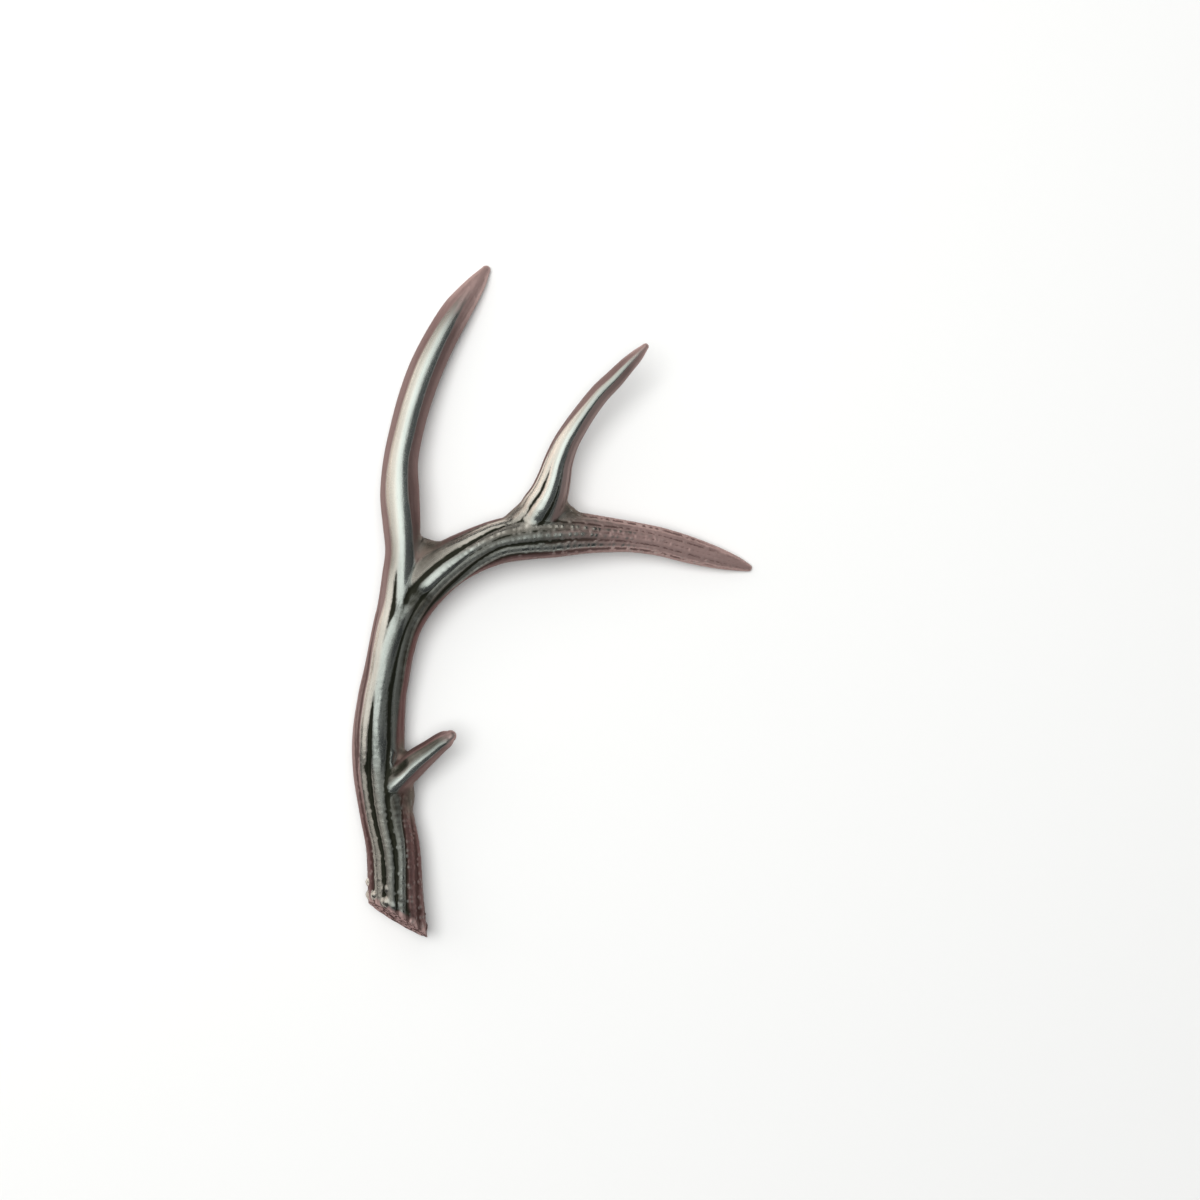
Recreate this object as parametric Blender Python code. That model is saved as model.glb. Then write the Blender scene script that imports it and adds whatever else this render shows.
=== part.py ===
# One side of a deer's antlers, lying on its side on level ground.
#
# The main beam rises from a slanted sawn end, bends over at the main fork and runs forward as
# the fore beam. It carries a short brow tine, a tall tine and a smaller fore tine. The antler
# grew as one piece, and is parted here only at its forks, by gaps of 0.3 mm.
#
# Units are metres. +Z is up, +Y runs from the sawn end to the tall tine's tip, and the fore
# beam points to +X. The origin is on the ground, under the middle of the antler's box.

import math

import bmesh
import bpy
import numpy as np
from mathutils import Matrix, Vector

MM = 0.001
FORK_GAP = 0.3 * MM
RING_SPACING = 8.5 * MM
SPAN_SAMPLES = 40
TIP_RING_ANGLES = (35, 65)
SHARP_ANGLE = 40

# Each branch has stations along its middle: x, y, height above the ground, half width and half
# depth, all in millimetres. Its crests are ridges that run along it, evenly spaced round it.
# first_crest is the angle of one crest at the root and at the tip, in degrees from straight up
# towards the right of the way that the branch runs. groove is the depth of the furrows between
# the crests at the root and at the tip, as a share of the half width.
BRANCHES = {
    "beam": {
        "stations": [
            (-95.7, -228.1, 22.0, 18.4, 17.2),
            (-98.3, -192.9, 21.0, 17.8, 16.8),
            (-100.5, -157.8, 18.9, 17.2, 16.3),
            (-104.8, -135.8, 16.9, 17.0, 16.0),
            (-109.5, -108.7, 15.7, 16.9, 15.6),
            (-110.2, -86.6, 15.7, 16.7, 15.4),
            (-108.0, -63.2, 17.4, 15.5, 14.8),
            (-105.0, -48.0, 19.3, 14.8, 14.2),
            (-101.3, -31.5, 21.6, 14.2, 13.8),
            (-96.2, -15.1, 23.8, 14.2, 13.5),
            (-88.8, -1.3, 25.6, 14.8, 13.4),
            (-78.7, 10.7, 27.0, 15.7, 13.4),
            (-65.4, 21.3, 28.0, 15.9, 13.5),
            (-50.1, 29.4, 28.4, 15.3, 13.6),
            (-33.0, 35.7, 28.4, 15.1, 13.6),
            (-16.4, 38.9, 27.6, 14.9, 13.5),
            (1.7, 40.9, 26.2, 14.6, 13.0),
            (16.8, 41.8, 24.6, 13.5, 12.3),
            (30.7, 41.3, 22.6, 11.8, 11.3),
            (49.0, 39.9, 19.2, 10.0, 9.8),
            (68.0, 36.8, 15.2, 9.2, 8.9),
            (87.1, 31.6, 11.0, 8.6, 8.0),
            (104.3, 26.7, 7.4, 6.9, 6.4),
            (116.5, 23.2, 4.5, 4.7, 4.4),
            (124.3, 20.6, 2.4, 2.5, 2.5),
        ],
        "crests": 11,
        "first_crest": (-10, -20),
        "groove": (0.15, 0.04),
    },
    "tall_tine": {
        "stations": [
            (-101.3, -65.0, 18.5, 5.0, 7.0),
            (-98.2, -32.8, 22.3, 9.8, 11.4),
            (-96.6, -3.8, 26.5, 13.1, 12.4),
            (-95.5, 13.8, 28.6, 11.5, 11.6),
            (-94.1, 30.7, 29.4, 10.7, 11.2),
            (-94.5, 47.7, 28.8, 11.9, 11.6),
            (-95.7, 66.6, 27.0, 12.4, 11.8),
            (-95.4, 86.8, 24.2, 11.1, 11.3),
            (-91.8, 107.2, 21.0, 10.7, 11.0),
            (-86.9, 126.3, 17.9, 10.8, 10.8),
            (-80.3, 145.5, 15.0, 10.8, 10.5),
            (-71.8, 164.0, 12.4, 10.3, 9.9),
            (-62.1, 181.4, 9.9, 9.8, 9.0),
            (-55.1, 191.8, 8.0, 8.4, 7.7),
            (-47.6, 202.4, 5.7, 6.5, 5.8),
            (-42.6, 210.1, 3.0, 3.3, 3.1),
        ],
        "crests": 5,
        "first_crest": (14, 14),
        "groove": (0.10, 0.07),
    },
    "fore_tine": {
        "stations": [
            (-16.5, 42.1, 26.5, 10.7, 10.0),
            (-7.6, 55.9, 29.0, 13.5, 12.5),
            (-2.3, 65.8, 30.5, 12.3, 12.2),
            (1.1, 75.8, 31.8, 10.8, 10.8),
            (3.7, 85.8, 33.0, 9.4, 9.5),
            (8.1, 97.0, 34.5, 8.3, 8.4),
            (13.7, 107.5, 36.2, 7.5, 7.6),
            (20.7, 118.6, 38.2, 6.7, 6.8),
            (29.0, 129.5, 40.0, 6.3, 6.3),
            (37.4, 137.7, 41.4, 5.9, 5.8),
            (46.0, 146.3, 42.6, 5.1, 5.0),
            (53.1, 152.6, 43.4, 3.9, 3.8),
            (58.3, 157.7, 43.8, 2.1, 2.1),
        ],
        "crests": 7,
        "first_crest": (-8, -8),
        "groove": (0.20, 0.04),
    },
    "brow_tine": {
        "stations": [
            (-109.6, -125.7, 17.0, 9.5, 9.0),
            (-100.8, -116.1, 19.5, 10.1, 9.2),
            (-92.4, -108.0, 22.5, 9.7, 8.6),
            (-84.5, -100.8, 25.8, 9.3, 8.0),
            (-75.6, -93.8, 29.0, 7.7, 7.0),
            (-70.3, -89.6, 30.9, 6.8, 6.2),
            (-65.9, -86.7, 32.3, 5.8, 5.2),
            (-63.5, -85.1, 33.1, 3.9, 3.6),
        ],
        "crests": 5,
        "first_crest": (-6, -6),
        "groove": (0.14, 0.08),
    },
}
SIDES_PER_CREST = {"beam": 4, "tall_tine": 5, "fore_tine": 3, "brow_tine": 3}

# The sawn end: a flat cut through this point, leaning back so that it faces a little upwards.
END_POINT = (-97.9, -201.1, 21.0)
END_SLANT = 30
END_LEAN = 15
END_BOX = 80 * MM

# Low pearls round the beam just above the sawn end. Their sizes and spacing vary by these shares.
PEARL_COUNT = 15
PEARL_RADIUS = 2.9 * MM
PEARL_SINK = 2.1 * MM
PEARL_SET_BACK = 5.0 * MM
PEARL_SIZE_SPREAD = 0.22
PEARL_SPACING_SPREAD = 0.3

# Where the forks are parted: a point on the branch, the way it runs there, and how far the
# parting reaches to each side of that point, in millimetres.
PARTINGS = {
    "tall_tine": {"point": (-94.4, 43.5, 29.0), "along": (-0.02, 1.0, -0.03), "reach": 19},
    "fore_beam": {"point": (-60.0, 24.6, 28.2), "along": (0.86, 0.50, 0.03), "reach": 21},
    "fore_tine": {"point": (2.6, 81.4, 32.5), "along": (0.24, 0.96, 0.11), "reach": 16},
    "brow_tine": {"point": (-84.5, -100.8, 25.8), "along": (0.71, 0.64, 0.29), "reach": 11},
}
PIECE_MARKS = {
    "main_beam": (-107.0, -90.0, 15.0),
    "fore_beam": (30.0, 41.5, 22.6),
    "tall_tine": (-87.5, 127.0, 17.5),
    "fore_tine": (28.0, 132.0, 42.5),
    "brow_tine": (-76.0, -93.2, 29.0),
}

COLOURS = {
    "main_beam": (0.22, 0.22, 0.19),
    "fore_beam": (0.22, 0.22, 0.19),
    "tall_tine": (0.62, 0.61, 0.53),
    "fore_tine": (0.62, 0.61, 0.53),
    "brow_tine": (0.42, 0.41, 0.35),
}
METALLIC = 0.9
ROUGHNESS = 0.3


def clear_scene():
    for obj in list(bpy.data.objects):
        bpy.data.objects.remove(obj)


def smooth_path(stations):
    """Evenly spaced points of a Catmull-Rom curve through the stations, in metres."""
    points = np.array(stations) * MM
    before = 2 * points[0] - points[1]
    after = 2 * points[-1] - points[-2]
    p = np.vstack([before, points, after])
    t = np.linspace(0, 1, SPAN_SAMPLES, endpoint=False)[:, None]
    spans = [
        0.5 * (
            2 * p[i]
            + (p[i + 1] - p[i - 1]) * t
            + (2 * p[i - 1] - 5 * p[i] + 4 * p[i + 1] - p[i + 2]) * t**2
            + (3 * p[i] - p[i - 1] - 3 * p[i + 1] + p[i + 2]) * t**3
        )
        for i in range(1, len(p) - 2)
    ]
    fine = np.vstack(spans + [points[-1:]])
    steps = np.linalg.norm(np.diff(fine[:, :3], axis=0), axis=1)
    reached = np.concatenate([[0], np.cumsum(steps)])
    count = max(3, round(reached[-1] / RING_SPACING))
    wanted = np.linspace(0, reached[-1], count + 1)
    return np.column_stack([np.interp(wanted, reached, fine[:, k]) for k in range(5)])


def with_round_tip(path):
    """The path with rings added past its end, which close it as a dome."""
    end = path[-1]
    forward = (path[-1] - path[-2])[:3]
    forward = forward / np.linalg.norm(forward)
    extra = []
    for degrees in TIP_RING_ANGLES:
        angle = math.radians(degrees)
        middle = end[:3] + forward * end[3] * math.sin(angle)
        extra.append([*middle, *(end[3:] * math.cos(angle))])
    return np.vstack([path, extra])


def ring_points(path, branch, sides):
    """The corners of every ring: an oval round the path, furrowed between its crests."""
    middles, half_widths, half_depths = path[:, :3], path[:, 3], path[:, 4]
    ahead = np.gradient(middles, axis=0)
    ahead /= np.linalg.norm(ahead, axis=1)[:, None]
    right = np.cross(ahead, (0, 0, 1))
    right /= np.linalg.norm(right, axis=1)[:, None]
    up = np.cross(right, ahead)
    along = np.linspace(0, 1, len(path))
    first = np.radians(np.interp(along, (0, 1), branch["first_crest"]))
    groove = np.interp(along, (0, 1), branch["groove"])
    turn = np.linspace(0, 2 * math.pi, sides, endpoint=False)
    angle = first[:, None] + turn[None, :]
    furrow = 1 - np.abs(np.cos(branch["crests"] * turn / 2))
    share = 1 - groove[:, None] * furrow[None, :]
    across = (half_widths[:, None] * share * np.sin(angle))[:, :, None] * right[:, None, :]
    upwards = (half_depths[:, None] * share * np.cos(angle))[:, :, None] * up[:, None, :]
    return middles[:, None, :] + across + upwards


def loft(name, rings):
    """A closed tube through the rings, which all have the same number of corners."""
    bm = bmesh.new()
    loops = [[bm.verts.new(point) for point in ring] for ring in rings]
    for lower, upper in zip(loops, loops[1:]):
        for k in range(len(lower)):
            after = (k + 1) % len(lower)
            bm.faces.new((lower[k], lower[after], upper[after], upper[k]))
    bm.faces.new(loops[0][::-1])
    bm.faces.new(loops[-1])
    bmesh.ops.recalc_face_normals(bm, faces=bm.faces)
    mesh = bpy.data.meshes.new(name)
    bm.to_mesh(mesh)
    bm.free()
    return bpy.data.objects.new(name, mesh)


def branch_object(name):
    branch = BRANCHES[name]
    sides = branch["crests"] * SIDES_PER_CREST[name]
    path = with_round_tip(smooth_path(branch["stations"]))
    return loft(name + "_form", ring_points(path, branch, sides))


def end_normal():
    """The way that the sawn end faces: back along the beam, slanted, and a little upwards."""
    slant, lean = math.radians(END_SLANT), math.radians(END_LEAN)
    level = math.cos(lean)
    return Vector((-math.sin(slant) * level, -math.cos(slant) * level, math.sin(lean)))


def end_cutter():
    """A box whose one face is the plane of the sawn end."""
    bm = bmesh.new()
    bmesh.ops.create_cube(bm, size=END_BOX)
    turn = end_normal().to_track_quat("Z", "Y").to_matrix().to_4x4()
    middle = Vector(END_POINT) * MM + end_normal() * (END_BOX / 2)
    bm.transform(Matrix.Translation(middle) @ turn)
    mesh = bpy.data.meshes.new("end_cutter")
    bm.to_mesh(mesh)
    bm.free()
    return bpy.data.objects.new("end_cutter", mesh)


def pearl_objects():
    """Small half-sunk beads round the beam, set back from the sawn end and following it."""
    normal = end_normal()
    plane_point = Vector(END_POINT) * MM
    path = smooth_path(BRANCHES["beam"]["stations"])
    heading = Vector(path[4, :3] - path[2, :3]).normalized()
    right = heading.cross(Vector((0, 0, 1))).normalized()
    up = right.cross(heading)
    half_width, half_depth = path[3, 3], path[3, 4]
    beads = []
    for k in range(PEARL_COUNT):
        place = k + PEARL_SPACING_SPREAD * math.sin(2.4 * k)
        angle = 2 * math.pi * place / PEARL_COUNT
        size = PEARL_RADIUS * (1 + PEARL_SIZE_SPREAD * math.sin(1.9 * k + 0.6))
        across = right * (math.sin(angle) * (half_width - PEARL_SINK))
        start = plane_point + across + up * (math.cos(angle) * (half_depth - PEARL_SINK))
        reach = (plane_point - start).dot(normal) / heading.dot(normal)
        middle = start + heading * (reach + PEARL_SET_BACK)
        bm = bmesh.new()
        bmesh.ops.create_icosphere(bm, subdivisions=2, radius=size)
        bm.transform(Matrix.Translation(middle))
        mesh = bpy.data.meshes.new(f"pearl_{k}")
        bm.to_mesh(mesh)
        bm.free()
        beads.append(bpy.data.objects.new(f"pearl_{k}", mesh))
    return beads


def parting_slab(name):
    """A thin box square across a branch, which parts it from the branch that it grows on."""
    parting = PARTINGS[name]
    bm = bmesh.new()
    bmesh.ops.create_cube(bm, size=1)
    reach = 2 * parting["reach"] * MM
    turn = Vector(parting["along"]).to_track_quat("Z", "Y").to_matrix().to_4x4()
    size = Matrix.Diagonal((reach, reach, FORK_GAP, 1))
    bm.transform(Matrix.Translation(Vector(parting["point"]) * MM) @ turn @ size)
    mesh = bpy.data.meshes.new(name + "_parting")
    bm.to_mesh(mesh)
    bm.free()
    return bpy.data.objects.new(name + "_parting", mesh)


def add_boolean(target, other, operation):
    modifier = target.modifiers.new(other.name, "BOOLEAN")
    modifier.operation = operation
    modifier.solver = "EXACT"
    modifier.object = other


def as_helpers(objects, collection):
    for obj in objects:
        collection.objects.link(obj)
        obj.hide_render = True
        obj.display_type = "WIRE"


def whole_antler(helpers):
    """The beam with its tines and pearls joined on, sawn off at its end and parted at its forks."""
    antler = branch_object("beam")
    bpy.context.scene.collection.objects.link(antler)
    grown = [branch_object(name) for name in ("tall_tine", "fore_tine", "brow_tine")]
    grown += pearl_objects()
    cuts = [end_cutter()] + [parting_slab(name) for name in PARTINGS]
    as_helpers(grown + cuts, helpers)
    for obj in grown:
        add_boolean(antler, obj, "UNION")
    for obj in cuts:
        add_boolean(antler, obj, "DIFFERENCE")
    bpy.context.view_layer.update()
    graph = bpy.context.evaluated_depsgraph_get()
    mesh = bpy.data.meshes.new_from_object(antler.evaluated_get(graph))
    bpy.data.objects.remove(antler)
    return mesh


def islands(mesh):
    """The separate bodies of a mesh, each as a new mesh."""
    bm = bmesh.new()
    bm.from_mesh(mesh)
    bm.verts.ensure_lookup_table()
    label = [-1] * len(bm.verts)
    count = 0
    for start in bm.verts:
        if label[start.index] >= 0:
            continue
        waiting = [start]
        label[start.index] = count
        while waiting:
            vert = waiting.pop()
            for edge in vert.link_edges:
                other = edge.other_vert(vert)
                if label[other.index] < 0:
                    label[other.index] = count
                    waiting.append(other)
        count += 1
    parts = []
    for wanted in range(count):
        part = bm.copy()
        part.verts.ensure_lookup_table()
        others = [v for v in part.verts if label[v.index] != wanted]
        bmesh.ops.delete(part, geom=others, context="VERTS")
        piece = bpy.data.meshes.new("piece")
        part.to_mesh(piece)
        part.free()
        parts.append(piece)
    bm.free()
    return parts


def nearest_piece(parts, mark):
    """The mesh with a vertex nearest to a mark in millimetres."""
    spot = Vector(mark) * MM
    return min(parts, key=lambda part: min((v.co - spot).length for v in part.vertices))


def antler_material(name):
    material = bpy.data.materials.new(name)
    material.use_nodes = True
    shader = material.node_tree.nodes["Principled BSDF"]
    shader.inputs["Base Color"].default_value = (*COLOURS[name], 1)
    shader.inputs["Metallic"].default_value = METALLIC
    shader.inputs["Roughness"].default_value = ROUGHNESS
    return material


def main():
    clear_scene()
    scene = bpy.context.scene
    pieces = bpy.data.collections.new("antler")
    helpers = bpy.data.collections.new("helpers")
    scene.collection.children.link(pieces)
    scene.collection.children.link(helpers)
    parts = islands(whole_antler(helpers))
    for name, mark in PIECE_MARKS.items():
        mesh = nearest_piece(parts, mark)
        mesh.name = name
        mesh.materials.clear()
        mesh.materials.append(antler_material(name))
        obj = bpy.data.objects.new(name, mesh)
        pieces.objects.link(obj)
        mesh.shade_smooth()
        mesh.set_sharp_from_angle(angle=math.radians(SHARP_ANGLE))
        low = [min(v.co[k] for v in mesh.vertices) * 1000 for k in range(3)]
        high = [max(v.co[k] for v in mesh.vertices) * 1000 for k in range(3)]
        print(name, len(mesh.polygons), [round(v, 2) for v in low], [round(v, 2) for v in high])
    print("bodies", len(parts))


main()
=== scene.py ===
# A deer's antler in polished metal, lying on its side on a pale floor.
# Its skin is one seamless mesh over the beam and its three tines, with ridges, beads and pearls.
# Lengths in the dictionaries are millimetres and angles are degrees, unless a note says otherwise.

import bmesh
import bpy
import numpy as np
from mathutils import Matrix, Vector


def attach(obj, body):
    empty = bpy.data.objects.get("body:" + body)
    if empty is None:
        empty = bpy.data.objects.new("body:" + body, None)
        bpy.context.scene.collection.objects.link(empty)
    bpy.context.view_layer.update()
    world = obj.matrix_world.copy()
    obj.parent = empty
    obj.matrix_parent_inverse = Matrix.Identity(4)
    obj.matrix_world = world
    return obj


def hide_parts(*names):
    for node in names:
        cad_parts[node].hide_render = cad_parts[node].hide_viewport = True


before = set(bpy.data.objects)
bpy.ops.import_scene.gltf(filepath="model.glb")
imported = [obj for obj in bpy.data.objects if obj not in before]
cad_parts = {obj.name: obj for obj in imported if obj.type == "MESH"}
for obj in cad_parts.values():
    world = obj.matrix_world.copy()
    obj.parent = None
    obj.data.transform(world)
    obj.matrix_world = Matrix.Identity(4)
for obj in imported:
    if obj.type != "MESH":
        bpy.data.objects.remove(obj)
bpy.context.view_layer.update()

mm = 0.001

# Stations along a branch: x, y, height, half width, half depth.
# A crest has four tables of (place, value), where place 0 is the branch's root and 1 is its tip:
# its angle, the depth of the furrow on its right, the height of its beads, and its polish (0 to 1).
# An angle counts from straight up towards the right of the way that the branch runs.
# rimLeft and rimRight say at which angle the red-brown of the flanks begins, a painted reflection of red
# surroundings; leftLight and rightLight say how pale it is there, as painted light and shade; keelTurn
# at which angle one more ridge runs, and pebbles how grainy the skin is.
# keel is that ridge's height as a share of the branch's radius, and its width.
beam = {
    "stations": [
        (-95.7, -228.1, 22.0, 18.4, 17.2), (-98.3, -192.9, 21.0, 17.8, 16.8),
        (-100.5, -157.8, 18.9, 17.2, 16.3), (-104.8, -135.8, 16.9, 17.0, 16.0),
        (-109.5, -108.7, 15.7, 16.9, 15.6), (-110.2, -86.6, 15.7, 16.7, 15.4),
        (-108.0, -63.2, 17.4, 15.5, 14.8), (-105.0, -48.0, 19.3, 14.8, 14.2),
        (-101.3, -31.5, 21.6, 14.2, 13.8), (-96.2, -15.1, 23.8, 14.2, 13.5),
        (-88.8, -1.3, 25.6, 14.8, 13.4), (-79.0, 11.1, 27.0, 15.2, 13.4),
        (-66.0, 22.3, 28.0, 14.8, 13.5), (-50.6, 30.5, 28.4, 14.1, 13.6),
        (-33.3, 36.5, 28.4, 14.3, 13.6), (-16.5, 39.3, 27.6, 14.5, 13.5),
        (1.7, 40.9, 26.2, 14.6, 13.0), (16.8, 41.8, 24.6, 13.5, 12.3),
        (30.7, 41.3, 22.6, 11.8, 11.3), (49.0, 39.9, 19.2, 10.0, 9.8),
        (68.0, 36.8, 15.2, 9.2, 8.9), (87.1, 31.6, 11.0, 8.6, 8.0),
        (104.3, 26.7, 7.4, 6.9, 6.4), (116.5, 23.2, 4.5, 4.7, 4.4),
        (124.3, 20.6, 2.4, 2.5, 2.5),
    ],
    "crests": [
        {"angle": [(0, -160), (0.3, -165), (1, -160)], "furrow": [(0, 1.5), (0.8, 1.0), (1, 0.2)],
         "bead": [(0, 0.2), (1, 0.1)], "polish": [(0, 0.12), (1, 0.08)]},
        {"angle": [(0, -128), (0.3, -132), (1, -128)], "furrow": [(0, 1.3), (0.8, 0.9), (1, 0.2)],
         "bead": [(0, 0.2), (1, 0.1)], "polish": [(0, 0.12), (1, 0.08)]},
        {"angle": [(0, -96), (0.3, -102), (0.62, -98), (0.68, -108), (1, -97)],
         "furrow": [(0, 1.0), (0.8, 0.8), (1, 0.2)],
         "bead": [(0, 0.3), (0.3, 0.1), (1, 0.1)], "polish": [(0, 0.12), (1, 0.08)]},
        {"angle": [(0, -64), (0.3, -70), (0.5, -74), (0.61, -66), (0.66, -84), (0.74, -74), (1, -68)],
         "furrow": [(0, 1.0), (0.3, 0.9), (0.6, 0.6), (0.8, 0.6), (1, 0.2)],
         "bead": [(0, 0.15), (0.28, 0.1), (0.35, 0.05), (0.7, 0.2), (1, 0.1)],
         "polish": [(0, 0.16), (0.3, 0.25), (0.5, 0.2), (0.66, 0.3), (0.75, 0.12), (1, 0.06)]},
        {"angle": [(0, -34), (0.1, -34), (0.15, -36), (0.21, -38), (0.26, -41), (0.3, -38), (0.36, -33),
                   (0.43, -36), (0.5, -42), (0.575, -34), (0.61, -38), (0.65, -54), (0.69, -58),
                   (0.74, -46), (0.8, -40), (1, -40)],
         "furrow": [(0, 1.6), (0.15, 2.0), (0.25, 2.6), (0.31, 2.2), (0.36, 1.0), (0.5, 1.0),
                    (0.57, 1.2), (0.66, 1.0), (0.8, 0.6), (1, 0.2)],
         "bead": [(0, 0.15), (0.24, 0.12), (0.28, 0.05), (0.6, 0.05), (0.7, 0.15), (1, 0.1)],
         "polish": [(0, 0.35), (0.1, 0.25), (0.2, 0.2), (0.27, 0.4), (0.32, 0.8), (0.5, 0.3),
                    (0.56, 0.12), (0.585, 0.3), (0.62, 0.7), (0.69, 0.95), (0.72, 0.5), (0.74, 0.18),
                    (0.8, 0.14), (1, 0.08)]},
        {"angle": [(0, -6), (0.12, -7), (0.16, -11), (0.21, -8), (0.26, -4), (0.31, 0), (0.43, 0),
                   (0.5, 10), (0.54, 15), (0.575, 12), (0.61, -1), (0.65, -19), (0.69, -26),
                   (0.735, -20), (0.79, -12), (1, -12)],
         "furrow": [(0, 1.6), (0.15, 1.6), (0.22, 1.1), (0.27, 0.8), (0.45, 0.8), (0.55, 1.0),
                    (0.62, 0.8), (0.7, 0.6), (0.8, 0.6), (1, 0.3)],
         "bead": [(0, 0.08), (0.2, 0.15), (0.3, 0.2), (0.4, 0.0), (0.57, 0.15), (0.62, 0.5),
                  (0.76, 0.6), (0.85, 0.45), (1, 0.2)],
         "polish": [(0, 0.16), (0.2, 0.16), (0.26, 0.22), (0.3, 0.75), (0.35, 0.8), (0.44, 0.5),
                    (0.48, 0.03), (0.515, 0.02), (0.54, 0.9), (0.56, 0.8), (0.58, 0.5), (0.61, 0.24),
                    (0.64, 0.1), (0.78, 0.1), (1, 0.14)]},
        {"angle": [(0, 13), (0.1, 17), (0.16, 25), (0.21, 32), (0.25, 44), (0.29, 56), (0.36, 56),
                   (0.43, 46), (0.5, 34), (0.575, 34), (0.61, 20), (0.65, 3), (0.7, 1), (0.8, 5),
                   (1, 9)],
         "furrow": [(0, 1.4), (0.2, 1.2), (0.28, 0.7), (0.45, 0.6), (0.56, 1.4), (0.65, 1.4),
                    (0.72, 0.9), (0.8, 0.6), (1, 0.3)],
         "bead": [(0, 0.4), (0.1, 0.25), (0.2, 0.1), (0.3, 0.0), (0.6, 0.1), (0.72, 0.35), (0.85, 0.4),
                  (1, 0.2)],
         "polish": [(0, 0.07), (0.1, 0.1), (0.15, 0.16), (0.2, 0.05), (0.25, 0.06), (0.27, 0.35),
                    (0.285, 0.25), (0.3, 0.04), (0.5, 0.03), (0.57, 0.1), (0.72, 0.08), (1, 0.12)]},
        {"angle": [(0, 33), (0.1, 37), (0.16, 45), (0.21, 56), (0.3, 76), (0.45, 74), (0.575, 76),
                   (0.61, 52), (0.65, 29), (0.7, 33), (0.8, 36), (1, 36)],
         "furrow": [(0, 1.0), (0.3, 0.5), (0.6, 1.0), (0.7, 1.0), (0.8, 0.6), (1, 0.2)],
         "bead": [(0, 0.3), (0.1, 0.2), (0.2, 0.05), (0.6, 0.1), (0.75, 0.35), (0.85, 0.4), (1, 0.2)],
         "polish": [(0, 0.12), (0.2, 0.06), (0.5, 0.04), (0.57, 0.1), (0.66, 0.16), (0.72, 0.14),
                    (1, 0.12)]},
        {"angle": [(0, 66), (0.2, 84), (0.3, 100), (0.45, 100), (0.575, 100), (0.65, 66), (0.8, 70),
                   (1, 70)],
         "furrow": [(0, 1.0), (0.7, 0.8), (0.8, 0.6), (1, 0.2)],
         "bead": [(0, 0.2), (1, 0.1)], "polish": [(0, 0.1), (1, 0.08)]},
        {"angle": [(0, 102), (0.25, 122), (1, 103)], "furrow": [(0, 1.3), (0.8, 0.9), (1, 0.2)],
         "bead": [(0, 0.2), (1, 0.05)], "polish": [(0, 0.1), (1, 0.08)]},
        {"angle": [(0, 134), (0.25, 150), (1, 135)], "furrow": [(0, 1.5), (0.8, 1.0), (1, 0.2)],
         "bead": [(0, 0.2), (1, 0.05)], "polish": [(0, 0.1), (1, 0.08)]},
        {"angle": [(0, 166), (0.3, 176), (1, 168)], "furrow": [(0, 1.5), (0.8, 1.0), (1, 0.2)],
         "bead": [(0, 0.2), (1, 0.05)], "polish": [(0, 0.1), (1, 0.08)]},
    ],
    "rimLeft": [(0, 52), (0.1, 50), (0.16, 47), (0.22, 42), (0.26, 38), (0.3, 33), (0.36, 38),
                (0.42, 46), (0.5, 52), (0.572, 48), (0.61, 58), (0.65, 68), (0.7, 66), (0.76, 55),
                (0.82, 45), (0.9, 36), (1, 26)],
    "rimRight": [(0, 30), (0.1, 30), (0.16, 36), (0.22, 42), (0.3, 46), (0.36, 52), (0.5, 60),
                 (0.575, 76), (0.61, 66), (0.65, 50), (0.72, 50), (0.8, 42), (0.9, 32), (1, 24)],
    "leftLight": [(0, 0.2), (0.1, 0.1), (0.17, 0.15), (0.22, 0.35), (0.27, 0.8), (0.32, 1), (0.38, 0.6),
                  (0.45, 0.4), (0.6, 0.25), (1, 0.35)],
    "rightLight": [(0, 0.25), (0.2, 0.1), (0.5, 0.1), (0.6, 0.3), (0.8, 0.45), (1, 0.5)],
    "pebbles": [(0, 1), (0.14, 0.9), (0.22, 0.6), (0.27, 0.3), (0.33, 0.15), (0.4, 0.05), (0.56, 0.05),
                (0.62, 0.35), (0.68, 0.7), (0.76, 1), (0.9, 1), (1, 0.7)],
    "keelTurn": [(0, 0), (1, 0)], "keel": (0, 20), "wiggle": 1.6, "beadSpacing": 4.4, "pathPoints": 420,
}
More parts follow.
